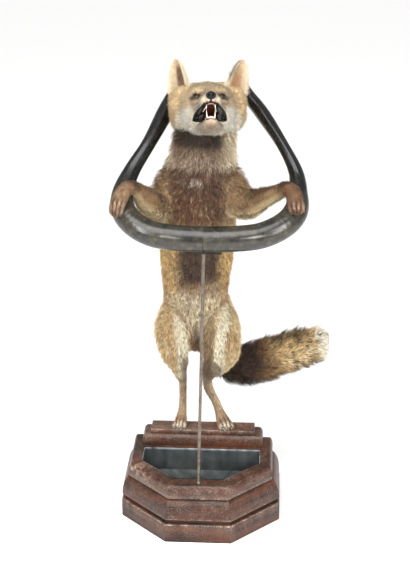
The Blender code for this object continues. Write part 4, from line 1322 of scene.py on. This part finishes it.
def object_noise(tree, scale, detail=3.0, stretch=(1, 1, 1), rough=0.55):
    """Noise fixed to the object, with its coordinates stretched."""
    coords = add_node(tree, "ShaderNodeTexCoord")
    mapping = add_node(tree, "ShaderNodeMapping", Scale=stretch)
    tree.links.new(coords.outputs["Object"], mapping.inputs["Vector"])
    node = add_node(tree, "ShaderNodeTexNoise", Scale=scale, Detail=detail, Roughness=rough)
    tree.links.new(mapping.outputs["Vector"], node.inputs["Vector"])
    return node.outputs["Fac"]


def mapped(tree, source, low, high, to_low, to_high):
    node = add_node(tree, "ShaderNodeMapRange")
    tree.links.new(source, node.inputs["Value"])
    for key, value in (("From Min", low), ("From Max", high), ("To Min", to_low), ("To Max", to_high)):
        node.inputs[key].default_value = value
    return node.outputs["Result"]


def blended(tree, factor, first, second, mode="MIX"):
    """Mix of two colours, each a socket or a colour."""
    node = add_node(tree, "ShaderNodeMix", data_type="RGBA", blend_type=mode)
    for socket, value in ((node.inputs[0], factor), (node.inputs[6], first), (node.inputs[7], second)):
        if hasattr(value, "is_linked"):
            tree.links.new(value, socket)
        elif isinstance(value, (int, float)):
            socket.default_value = value
        else:
            socket.default_value = (*value[:3], 1.0)
    return node.outputs[2]


def bumped(tree, shader, height, strength, distance):
    node = add_node(tree, "ShaderNodeBump", Strength=strength, Distance=distance)
    tree.links.new(height, node.inputs["Height"])
    tree.links.new(node.outputs["Normal"], shader.inputs["Normal"])


def stored(tree, name, output="Fac"):
    """What is stored at the vertices under a name."""
    return add_node(tree, "ShaderNodeAttribute", attribute_name=name).outputs[output]


def speckled(tree, shader, noise_scale, detail, low, high):
    """Gives the shader the stored tint, lighter and darker in specks."""
    speck = mapped(tree, object_noise(tree, noise_scale, detail), 0.3, 0.7, low, high)
    grey = add_node(tree, "ShaderNodeCombineColor")
    for channel in range(3):
        tree.links.new(speck, grey.inputs[channel])
    tone = blended(tree, 1.0, stored(tree, "tint", "Color"), grey.outputs[0], "MULTIPLY")
    tree.links.new(tone, shader.inputs["Base Color"])


def settle(shader, **values):
    """Sets sockets of a shader by name, with _ for a space."""
    for name, value in values.items():
        shader.inputs[name.replace("_", " ")].default_value = value


def coat_material():
    mat, tree, shader = new_material("fox_coat")
    speckled(tree, shader, 420, 3, 0.72, 1.12)
    settle(shader, Roughness=0.72, Specular_IOR_Level=0.25, Sheen_Weight=0.12, Sheen_Roughness=0.5)
    return mat


def skin_material():
    mat, tree, shader = new_material("fox_skin")
    speckled(tree, shader, 300, 4, 0.8, 1.1)
    settle(shader, Specular_IOR_Level=0.22)
    tree.links.new(mapped(tree, stored(tree, "bare"), 0, 1, 0.8, 0.22), shader.inputs["Roughness"])
    bumped(tree, shader, object_noise(tree, 500, 4), 0.5, 0.0006)
    return mat


def horn_material():
    mat, tree, shader = new_material("buffalo_horn")
    blotch = object_noise(tree, 60, 5)
    streak = object_noise(tree, 240, 4)
    tint = stored(tree, "tint", "Color")
    tone = blended(tree, mapped(tree, blotch, 0.35, 0.7, 0, 0.5), tint, srgb(20, 20, 18))
    tone = blended(tree, mapped(tree, streak, 0.55, 0.8, 0, 0.15), tone, srgb(120, 114, 96))
    tree.links.new(tone, shader.inputs["Base Color"])
    tree.links.new(mapped(tree, blotch, 0.3, 0.7, 0.16, 0.30), shader.inputs["Roughness"])
    settle(shader, Specular_IOR_Level=0.50)
    bumped(tree, shader, object_noise(tree, 420, 4), 0.25, 0.0005)
    return mat


def wood_material():
    mat, tree, shader = new_material("worn_mahogany")
    grain = object_noise(tree, 7, 9, (1.0, 1.0, 9.0), 0.65)
    pits_and_glints = object_noise(tree, 360, 5)
    cloud = object_noise(tree, 16, 4)
    tone = blended(tree, mapped(tree, grain, 0.38, 0.62, 0, 1), srgb(15, 6, 4), srgb(74, 37, 20))
    # pale specks in the pits: whitish pores, and painted glints of the worn gloss
    tone = blended(tree, mapped(tree, pits_and_glints, 0.57, 0.68, 0, 0.32), tone, srgb(132, 106, 90))
    # lighter greyish clouds: dust, and a painted reflection of the semi-gloss finish
    tone = blended(tree, mapped(tree, cloud, 0.5, 0.8, 0, 0.15), tone, srgb(92, 72, 62))
    rubbed = add_node(tree, "ShaderNodeMath", operation="MULTIPLY")
    tree.links.new(stored(tree, "wear"), rubbed.inputs[0])
    tree.links.new(mapped(tree, pits_and_glints, 0.42, 0.60, 0.15, 1.0), rubbed.inputs[1])
    tone = blended(tree, rubbed.outputs[0], tone, srgb(186, 164, 146))
    tree.links.new(tone, shader.inputs["Base Color"])
    tree.links.new(mapped(tree, pits_and_glints, 0.3, 0.7, 0.30, 0.50), shader.inputs["Roughness"])
    settle(shader, Specular_IOR_Level=0.35)
    bumped(tree, shader, pits_and_glints, 0.5, 0.0008)
    return mat


def zinc_material():
    mat, tree, shader = new_material("tarnished_zinc")
    cloud = object_noise(tree, 30, 5)
    tone = blended(tree, mapped(tree, cloud, 0.3, 0.7, 0, 1), srgb(28, 32, 31), srgb(54, 58, 56))
    tone = blended(tree, stored(tree, "wear"), tone, srgb(206, 214, 220))
    tree.links.new(tone, shader.inputs["Base Color"])
    settle(shader, Metallic=0.35)
    tree.links.new(mapped(tree, cloud, 0.3, 0.7, 0.4, 0.6), shader.inputs["Roughness"])
    bumped(tree, shader, object_noise(tree, 90, 3), 0.3, 0.0008)
    return mat


def plain_material(name, colour, other, roughness, metallic=0.0, scale=200, shine=0.5):
    """A finish that wanders between two colours."""
    mat, tree, shader = new_material(name)
    tone = blended(tree, mapped(tree, object_noise(tree, scale, 4), 0.35, 0.65, 0, 1), colour, other)
    tree.links.new(tone, shader.inputs["Base Color"])
    settle(shader, Roughness=roughness, Metallic=metallic, Specular_IOR_Level=shine)
    bumped(tree, shader, object_noise(tree, scale * 2, 3), 0.15, 0.0003)
    return mat


def finish_piece(obj, slot, *nodes, material=None):
    if material is not None:
        obj.data.materials.clear()
        obj.data.materials.append(material)
    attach(obj, "root")
    if nodes:
        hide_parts(*nodes)
    return obj


# Nose, eyes, teeth, claws, whiskers


def nose_distance(p):
    mirrored = folded(p)
    pad = blob(p, (0, 0.1235, -0.0052), (0.0094, 0.0080, 0.0080))
    pad = fuse(pad, blob(mirrored, (0.0046, 0.1268, -0.0062), (0.0050, 0.0046, 0.0056)), 0.003)
    pad = fuse(pad, strand(p, ((0, 0.1275, -0.0100), (0, 0.1250, -0.0160)), 0.0017), 0.003)
    nostril = strand(mirrored, ((0.0034, 0.1330, -0.0060), (0.0042, 0.1270, -0.0050)), 0.0018)
    slit = strand(mirrored, ((0.0046, 0.1305, -0.0078), (0.0092, 0.1245, -0.0088)), 0.0008)
    pad = carve(carve(pad, nostril, 0.0012), slit, 0.0010)
    return carve(pad, strand(p, ((0, 0.1325, -0.0085), (0, 0.1270, -0.0165)), 0.0005), 0.0010)


def build_nose(material):
    step = 0.0005
    points, quads = grid_surface(nose_distance, (-0.012, 0.110, -0.020), (0.012, 0.134, 0.005), step)
    nose = mesh_object("nose_pad", from_head(points), quads)
    face_out(nose)
    return finish_piece(nose, "nose_skin", "nose", material=material)


def face_out(obj, merge=0.0):
    """Turns every face outwards, after merging points closer than a distance."""
    bm = bmesh.new()
    bm.from_mesh(obj.data)
    if merge:
        bmesh.ops.remove_doubles(bm, verts=bm.verts, dist=merge)
    bmesh.ops.recalc_face_normals(bm, faces=bm.faces)
    bm.to_mesh(obj.data)
    bm.free()
    obj.data.shade_smooth()


def build_eyes(material):
    for sign, side in ((-1, "right"), (1, "left")):
        theta, phi = np.linspace(0, math.pi, 33), np.linspace(0, 2 * math.pi, 48, endpoint=False)
        look = unit(EYE_LOOK * (sign, 1, 1) * (1, 1, 1.6))
        one = unit(np.cross(look, (0, 0, 1.0)))
        two = np.cross(one, look)
        points, colours = [], []
        for t in theta:
            radius = EYE_RADIUS * (1 + 0.045 * math.exp(-((t / 0.5) ** 2)))
            for f in phi:
                way = look * math.cos(t) + (one * math.cos(f) + two * math.sin(f)) * math.sin(t)
                points.append(EYE_PLACE * (sign, 1, 1) + way * radius)
                across, high = math.sin(t) * math.cos(f), math.sin(t) * math.sin(f)
                streaks = 0.5 + 0.5 * math.sin(f * 21) * math.sin(f * 8 + 1)
                iris = srgb(82, 70, 36) * (0.6 + 0.5 * streaks) if t < 0.62 else srgb(20, 16, 13)
                iris = iris * (0.45 if 0.54 < t < 0.66 else 1.0)
                pupil = (across / 0.20) ** 2 + (high / 0.42) ** 2 < 1
                colours.append(srgb(8, 8, 8) if pupil else iris)
        count = len(phi)
        faces = []
        for ring in range(len(theta) - 1):
            for step in range(count):
                a, b = ring * count + step, ring * count + (step + 1) % count
                faces.append((a, b, b + count, a + count))
        eye = mesh_object(f"glass_eye_{side}", from_head(np.array(points)), faces)
        paint(eye, np.array(colours))
        face_out(eye, merge=0.00002)
        finish_piece(eye, "eye_glass", f"eye_{side}", material=material)


def cone(base, tip, radius, bend=(0, 0, 0), sides=10, count=9, flat=1.0):
    """A tapering, slightly bent tooth, claw or whisker."""
    base, tip, bend = (np.array(value, float) for value in (base, tip, bend))
    t = np.linspace(0, 1, count)[:, None]
    middle = base + (tip - base) * t + bend * (4 * t * (1 - t))
    size = radius * (1 - t**1.4) + radius * 0.05
    rows = np.hstack([middle, size, size * flat])
    way = unit(tip - base)
    across = np.cross(way, (0.3, 0.5, 0.8))
    return tube(rows, count * 2, sides, across=unit(across))


CANINE = 0.0011  # radius at the gum


def build_teeth(material):
    upper, lower = [], []
    for sign in (-1, 1):
        base, tip = (sign * 0.0084, 0.1120, -0.0200), (sign * 0.0086, 0.1110, -0.0295)
        upper.append(cone(base, tip, CANINE, (0, 0.0014, 0)))
        base, tip = (sign * 0.0074, 0.1070, -0.0450), (sign * 0.0088, 0.1100, -0.0280)
        lower.append(cone(base, tip, CANINE, (0, 0.0012, 0)))
        for index in range(3):
            across = sign * (0.0012 + 0.0023 * index)
            forward = 0.1150 - 0.0012 * index**1.5
            upper.append(cone((across, forward, -0.0185), (across, forward, -0.0208), 0.0010, flat=0.8))
            low = 0.1105 - 0.0010 * index**1.5
            lower.append(cone((across, low, -0.0455), (across, low + 0.0005, -0.0424), 0.0012, flat=0.8))
        for index in range(4):
            forward, size = 0.092 - 0.0095 * index, 0.0010 + 0.0003 * index
            reach = 0.0095 + 0.0013 * index
            upper.append(cone((sign * reach, forward, -0.0205), (sign * reach, forward, -0.0240), size))
            lower.append(cone((sign * reach, forward, -0.0455), (sign * reach, forward, -0.0420), size))
    for name, parts in (("teeth_upper", upper), ("teeth_lower", lower)):
        points, faces = gathered(parts)
        teeth = mesh_object(name, from_head(points), faces)
        face_out(teeth)
        finish_piece(teeth, "coat", material=material)


def build_whiskers(material):
    parts = []
    for sign in (-1, 1):
        for row in range(3):
            for step in range(3):
                forward = 0.103 - 0.008 * step + 0.002 * row
                up = -0.0070 - 0.0042 * row
                side = 0.0125 + 0.0012 * step
                base = np.array((sign * side, forward, up))
                length = 0.030 + 0.006 * step
                way = unit(np.array((sign * 0.75, -0.55 - 0.1 * row, 0.05 - 0.22 * row)))
                tip = base + way * length
                parts.append(cone(base, tip, 0.00022, bend=(0, 0.0025, 0.002), sides=5, count=6))
    points, faces = gathered(parts)
    whiskers = mesh_object("whiskers", from_head(points), faces)
    face_out(whiskers)
    finish_piece(whiskers, "nose_skin", material=material)


def build_claws(material):
    parts = []
    for legs, spread, share in ((HIND_LEGS, 1.05, 1.0), (FORE_LEGS, 1.0, 1.12)):
        for rows in legs.values():
            for toe in toe_rows(rows, spread, share):
                end, before = toe[-1, :3], toe[-2, :3]
                way = unit(end - before)
                down = np.array((0, -0.15, -1.0)) if legs is HIND_LEGS else np.array((0, 0.5, -0.6))
                base = end + way * 0.0030 - unit(down) * 0.0012
                tip = base + way * 0.0060 + unit(down) * 0.0032
                parts.append(cone(base, tip, 0.0015, bend=-unit(down) * 0.0009, sides=8, count=7))
    points, faces = gathered(parts)
    points[:, 2] = np.maximum(points[:, 2], 0.1686)
    claws = mesh_object("claws", points, faces)
    face_out(claws)
    finish_piece(claws, "buffalo_horn", material=material)


# Horns


def horn_shape(t, angle):
    """Radius by place: growth rings near the base, long flats and ridges further up."""
    upper = ramp(t, 0.42, 0.60)
    rings = 0.0032 * np.sin(2 * math.pi * t * 46 + 0.6 * np.sin(3 * angle)) * band(t, 0.26, 0.44, 0.03)
    low = 0.012 * np.sin(3 * angle + 9 * t) * (1 - upper)
    flats = 0.055 * np.abs(np.sin(1.5 * angle + 0.6)) * upper
    ridge = 0.018 * (np.cos(7 * angle + 2 * t) > 0.6) * upper
    return 0.97 + 0.012 * upper + rings + low - flats - ridge


def build_horns(material):
    for side in HORN_SPREAD:
        sign = -1 if side == "right" else 1
        start = (RING_FRONT[0] + sign * GAP, *RING_FRONT[1:], HORN_RADIUS)
        rows = [(*row[:3], row[3], row[3]) for row in (start, *horn_rows(side))]
        count, sides = ((240, 64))
        points, faces = tube(rows, count, sides, (0, 1, 0.2), horn_shape, (False, True))
        horn = mesh_object(f"horn_{side}_polished", points, faces)
        face_out(horn)
        horn.data.set_sharp_from_angle(angle=math.radians(50))
        path = smooth_rows(rows, 120)[:, :3]
        t = in_chunks(points, lambda some: ((some[:, None] - path) ** 2).sum(2).argmin(1)) / 119
        cloud = noise(points, 0.02, 81, 3)
        streak = noise(points * (0.35, 0.5, 0.35), 0.003, 83, 2)
        colours = np.tile(srgb(48, 45, 38), (len(points), 1))
        colours = layered(
            colours,
            (srgb(24, 24, 22), ramp(cloud, -0.1, 0.5)),
            (srgb(92, 84, 62), 0.45 * ramp(streak, 0.1, 0.7)),
            (srgb(9, 9, 9), ramp(t + 0.05 * cloud, 0.40, 0.56)),
        )
        paint(horn, colours)
        finish_piece(horn, "buffalo_horn", f"horn_{side}", material=material)


# Stand

BACK_Y = 0.030
ROD_RADIUS = 0.0033
PLATE_SIZE = (0.072, 0.014, 0.003)
PLINTH_HALF, PLINTH_FRONT, PLINTH_FACET, PLINTH_TOP = 0.173, -0.203, 0.0705, 0.042
BODY_TOP, RIM_TOP = 0.100, 0.132
RIM_HALF, RIM_FRONT, RIM_FACET = 0.156, -0.197, 0.064
TRAY_HALF, TRAY_FRONT, TRAY_FACET, TRAY_BACK = 0.129, -0.163, 0.054, -0.028
TRAY_FLOOR, TRAY_WALL = 0.076, 0.0016
RUBBED_SPOT = (-0.135, -0.125, 0.126)  # where the rim is worn bright
STEP_HALF, STEP_FRONT, STEP_TOP = 0.1335, -0.019, 0.158
BLOCK_HALF, BLOCK_FRONT, BLOCK_TOP = 0.115, -0.012, 0.168


def bay_outline(half_width, front, facet, inset, back):
    """Corners of a half octagon, going round from the back."""
    facet = facet - inset * math.tan(math.radians(22.5))
    half_width, front = half_width - inset, front + inset
    shoulder = front + half_width - facet
    side = [(half_width, back), (half_width, shoulder), (facet, front)]
    return side + [(-x, y) for x, y in reversed(side)]


def densified(corners):
    """An outline with points along its sides, so that wear can vary there."""
    points = []
    for index, count in zip(range(len(corners)), (24, 24, 30, 24, 24, 60)):
        start, end = np.array(corners[index]), np.array(corners[(index + 1) % len(corners)])
        points += [tuple(start + (end - start) * t) for t in np.linspace(0, 1, count, endpoint=False)]
    return points


def moulding(name, outlines, profile, ring=False):
    """A closed tier from stacked outlines, with rows of height, inset and wear. A ring joins its last
    outline to its first."""
    points, wear, rings = [], [], []
    for outline, (height, _inset, worn) in zip(outlines, profile):
        dense = densified(outline)
        rings.append(np.arange(len(points), len(points) + len(dense)))
        for x, y in dense:
            points.append((x, y, height))
            wear.append(worn)
    faces = []
    for low, high in zip(rings, rings[1:] + rings[:1] if ring else rings[1:]):
        low_t, high_t = np.roll(low, -1), np.roll(high, -1)
        faces += list(zip(low, low_t, high_t, high))
    points = np.array(points)
    obj = mesh_object(name, points, faces)
    bm = bmesh.new()
    bm.from_mesh(obj.data)
    layer = bm.verts.layers.float.new("wear")
    chips = noise(points, 0.012, 91, 3)
    rubbed = patch(points, RUBBED_SPOT, (0.030, 0.030, 0.012)) * ramp(noise(points, 0.008, 93, 2), -0.3, 0.4)
    for vert, worn, chip, bright in zip(bm.verts, wear, chips, rubbed):
        vert[layer] = max(0.0, min(1.0, worn * (0.55 + 0.9 * chip) + bright))
    open_edges = [edge for edge in bm.edges if edge.is_boundary]
    if open_edges:
        bmesh.ops.holes_fill(bm, edges=open_edges, sides=0)
    bmesh.ops.recalc_face_normals(bm, faces=bm.faces)
    bm.to_mesh(obj.data)
    bm.free()
    obj.data.shade_smooth()
    obj.data.set_sharp_from_angle(angle=math.radians(28))
    return obj


def quarter_round(bottom, top, outer, inner, steps=9):
    rows = []
    for step in range(steps + 1):
        angle = math.pi / 2 * step / steps
        height = bottom + (top - bottom) * math.sin(angle)
        rows.append((height, outer + (inner - outer) * (1 - math.cos(angle))))
    return rows


def tier(name, size, profile, hole=None, through=False, walled=False):
    """A tier of the base. Profile rows are height, inset and wear; hole rows go down inside it."""
    half, front, facet, back = size
    outlines = []
    for _height, inset, _worn in profile:
        outlines.append(bay_outline(half, front, facet, inset, back - (inset if walled else 0)))
    if hole:
        outlines += [bay_outline(*hole[0][:3], inset, hole[0][3]) for _, inset, _ in hole[1]]
        profile = profile + hole[1]
    return moulding(name, outlines, profile, ring=through)


def with_wear(rows, worn, last=None):
    rows = [(height, inset, worn) for height, inset in rows]
    if last is not None:
        rows[-1] = (*rows[-1][:2], last)
    return rows


def build_stand(wood, zinc, steel, iron):
    plinth_size = (PLINTH_HALF, PLINTH_FRONT, PLINTH_FACET, BACK_Y)
    tray_size = (TRAY_HALF, TRAY_FRONT, TRAY_FACET, TRAY_BACK)
    profile = [(0, 0, 0), (0.004, 0, 0), (PLINTH_TOP - 0.003, 0, 0.25), (PLINTH_TOP - 0.001, 0.0006, 0.9)]
    profile += [(PLINTH_TOP - 0.0003, 0.0018, 0.9), (PLINTH_TOP, 0.0034, 0.3), (PLINTH_TOP, 0.012, 0)]
    finish_piece(tier("plinth", plinth_size, profile), "mahogany", "base_plinth", material=wood)

    profile = [(PLINTH_TOP + GAP, 0.008, 0), (PLINTH_TOP + 0.009, 0.008, 0)]
    profile += [(PLINTH_TOP + 0.010, 0.0035, 0.7), (PLINTH_TOP + 0.012, 0.0018, 0.8)]
    profile += with_wear(quarter_round(PLINTH_TOP + 0.014, BODY_TOP - GAP, 0.0015, 0.024), 0.12)
    hole = [(BODY_TOP - GAP, 0.0, 0), (TRAY_FLOOR - 0.002, 0.0, 0)]
    body = tier("moulded_tier", plinth_size, profile, (tray_size, hole))
    finish_piece(body, "mahogany", "base_body", material=wood)

    rim_size = (RIM_HALF, RIM_FRONT, RIM_FACET, BACK_Y)
    profile = [(BODY_TOP, 0.004, 0), (BODY_TOP + 0.002, 0.0014, 0.6), (BODY_TOP + 0.004, 0.0004, 0.6)]
    profile += with_wear(quarter_round(BODY_TOP + 0.012, RIM_TOP, 0.0, 0.0075), 0.22, 0.12)
    hole = [(RIM_TOP, 0.0, 0.15), (RIM_TOP - 0.001, 0.0, 0.2), (BODY_TOP, 0.0, 0)]
    rim = tier("rim", rim_size, profile, (tray_size, hole), through=True)
    finish_piece(rim, "mahogany", "base_top", material=wood)

    outer = (*tray_size[:3], TRAY_BACK - GAP)
    lip = RIM_TOP - 0.0008
    profile = [(TRAY_FLOOR - 0.002 + GAP, GAP, 0), (RIM_TOP - 0.0012, GAP, 0.2), (lip, GAP + 0.0004, 1)]
    profile += [(lip, TRAY_WALL - 0.0003, 1), (RIM_TOP - 0.0016, TRAY_WALL, 0.6)]
    profile += [(RIM_TOP - 0.006, TRAY_WALL, 0.1), (TRAY_FLOOR + 0.003, TRAY_WALL, 0)]
    profile += [(TRAY_FLOOR + 0.0008, TRAY_WALL + 0.001, 0.1)]
    profile += [(TRAY_FLOOR, TRAY_WALL + 0.003, 0.15), (TRAY_FLOOR, 0.040, 0.10), (TRAY_FLOOR, 0.052, 0.05)]
    finish_piece(tier("zinc_tray", outer, profile, walled=True), "zinc", "drip_tray", material=zinc)

    step = [(RIM_TOP + GAP, 0.0, 0)]
    step += with_wear(quarter_round(RIM_TOP + 0.012, STEP_TOP, 0.0, 0.010), 0.2, 0.3)
    block = [(STEP_TOP + GAP, 0.0, 0), (BLOCK_TOP - 0.0018, 0, 0.4)]
    block += [(BLOCK_TOP - 0.0006, 0.0006, 1), (BLOCK_TOP, 0.0018, 0.5)]
    for name, node, half, front, profile in (
        ("step", "back_step", STEP_HALF, STEP_FRONT, step),
        ("block", "step_block", BLOCK_HALF, BLOCK_FRONT, block),
    ):
        outlines = []
        for _height, inset, _worn in profile:
            left, right = -half + inset, half - inset
            outlines.append([(left, front + inset), (right, front + inset), (right, BACK_Y), (left, BACK_Y)])
        finish_piece(moulding(name, outlines, profile), "mahogany", node, material=wood)

    foot = np.array((0.0, -0.1815, RIM_TOP + GAP))
    plate_top = RING_FRONT[2] - HORN_RADIUS - 0.001
    centre = np.array((RING_FRONT[0], RING_FRONT[1] + 0.004, plate_top - 0.0015))
    top = centre - (0, 0, 0.0015 + GAP + 0.0003)
    way = unit(top - foot)
    rows = []
    length = np.linalg.norm(top - foot)
    places = (0, 0.004, 0.0065, 0.010, 0.25, 0.5, length - 0.006, length - 0.0005)
    for place, radius in zip(places, (0.0052, 0.0052, 0.0036, *(ROD_RADIUS,) * 4, 0.0042)):
        rows.append((*(foot + way * place), radius, radius))
    points, faces = tube(rows, 90, 20, round_ends=(False, False))
    rod = mesh_object("steel_rod", points, faces)
    face_out(rod)
    finish_piece(rod, "steel", "support_rod", material=steel)
    bm = bmesh.new()
    bmesh.ops.create_cube(bm, size=1.0)
    placed = Matrix.Translation(Vector(centre)) @ Matrix.Diagonal((*PLATE_SIZE, 1))
    bmesh.ops.transform(bm, matrix=placed, verts=bm.verts)
    bmesh.ops.bevel(bm, geom=bm.edges[:], offset=0.0008, segments=3, affect="EDGES")
    finish_piece(from_bmesh("flat_plate", bm), "black_iron", "ring_plate", material=iron)


CAMERA_LENS = 82.2145  # millimetres, on a sensor 36 wide
CAMERA_PLACE = (0.1408, -2.6, 1.57)
CAMERA_DOWN, CAMERA_TURN = 22.3, 3.0  # degrees


def from_bmesh(name, bm):
    mesh = bpy.data.meshes.new(name)
    bm.to_mesh(mesh)
    bm.free()
    return linked(name, mesh)


def build_stage():
    """Floor, soft lights and camera."""
    bm = bmesh.new()
    bmesh.ops.create_grid(bm, x_segments=1, y_segments=1, size=20.0)
    floor = from_bmesh("floor", bm)
    mat, _tree, shader = new_material("pale_floor")
    settle(shader, Base_Color=(0.96, 0.96, 0.955, 1), Roughness=0.9, Specular_IOR_Level=0.1)
    floor.data.materials.append(mat)

    world = bpy.data.worlds.new("studio")
    bpy.context.scene.world = world
    world.use_nodes = True
    world.node_tree.nodes["Background"].inputs["Color"].default_value = (1.0, 1.0, 1.0, 1)
    world.node_tree.nodes["Background"].inputs["Strength"].default_value = 0.42

    for name, place, target, size, energy in (
        ("left_box", (-1.5, -1.7, 1.5), (0, -0.05, 0.6), (0.35, 1.5), 26),
        ("right_box", (1.6, -1.6, 1.4), (0, -0.05, 0.6), (0.30, 1.5), 33),
        ("front_left", (-0.62, -2.3, 1.30), (0, -0.2, 0.68), (0.24, 0.40), 12),
        ("front_right", (0.85, -2.2, 1.20), (0, -0.2, 0.68), (0.20, 0.36), 15),
        ("top_box", (-0.2, -0.9, 2.5), (0, 0, 0.6), (2.2, 1.4), 26),
    ):
        light = bpy.data.lights.new(name, "AREA")
        light.shape = "RECTANGLE"
        light.size, light.size_y = size
        light.energy = energy
        lamp = linked(name, light)
        lamp.location = place
        lamp.rotation_euler = (Vector(target) - Vector(place)).to_track_quat("-Z", "Y").to_euler()
    sky = bpy.data.lights.new("soft_sky", "SUN")
    sky.energy = 2.1
    sky.angle = math.radians(55)
    linked("soft_sky", sky).rotation_euler = (math.radians(30), math.radians(-10), 0)

    camera = bpy.data.cameras.new("camera")
    camera.lens = CAMERA_LENS
    camera.sensor_width = 36
    camera.sensor_fit = "AUTO"
    eye = linked("camera", camera)
    eye.location = CAMERA_PLACE
    eye.rotation_euler = (math.radians(90 - CAMERA_DOWN), 0, math.radians(CAMERA_TURN))
    bpy.context.scene.camera = eye
    bpy.context.scene.view_settings.view_transform = "Standard"


FLESH = ["head", "lower_jaw", "ear_left", "ear_right", "neck", "chest", "belly"]
FLESH += ["tail_root", "tail_middle", "tail_end"]
for limb in ("upper_arm", "forearm", "forepaw", "thigh", "shank", "hind_foot"):
    FLESH += [f"{limb}_left", f"{limb}_right"]

build_stage()
fur = coat_material()
skin, kinds = build_skin()
finish_piece(skin, "coat", *FLESH, material=skin_material())
for coat_piece in body_coat(skin, kinds, fur) + head_coat(skin, kinds, fur) + ear_coat(skin, kinds, fur):
    finish_piece(coat_piece, "coat")
build_nose(plain_material("nose_leather", srgb(9, 9, 10), srgb(20, 19, 21), 0.40, scale=900, shine=0.25))
eye_mat, eye_tree, eye_shader = new_material("painted_glass")
eye_tree.links.new(stored(eye_tree, "tint", "Color"), eye_shader.inputs["Base Color"])
settle(eye_shader, Roughness=0.10, Specular_IOR_Level=0.22, Coat_Weight=0.15, Coat_Roughness=0.02)
build_eyes(eye_mat)
build_teeth(plain_material("tooth_enamel", srgb(236, 228, 214), srgb(222, 206, 178), 0.25, scale=150))
build_whiskers(plain_material("whisker_hair", srgb(24, 20, 18), srgb(40, 34, 30), 0.4))
build_claws(plain_material("claw_horn", srgb(40, 34, 30), srgb(78, 66, 56), 0.35, scale=300))
build_horns(horn_material())
build_stand(
    wood_material(),
    zinc_material(),
    plain_material("tarnished_steel", srgb(116, 108, 96), srgb(84, 74, 62), 0.36, 0.7, 120),
    plain_material("black_plate", srgb(22, 22, 22), srgb(44, 38, 34), 0.45, 0.2, 160),
)
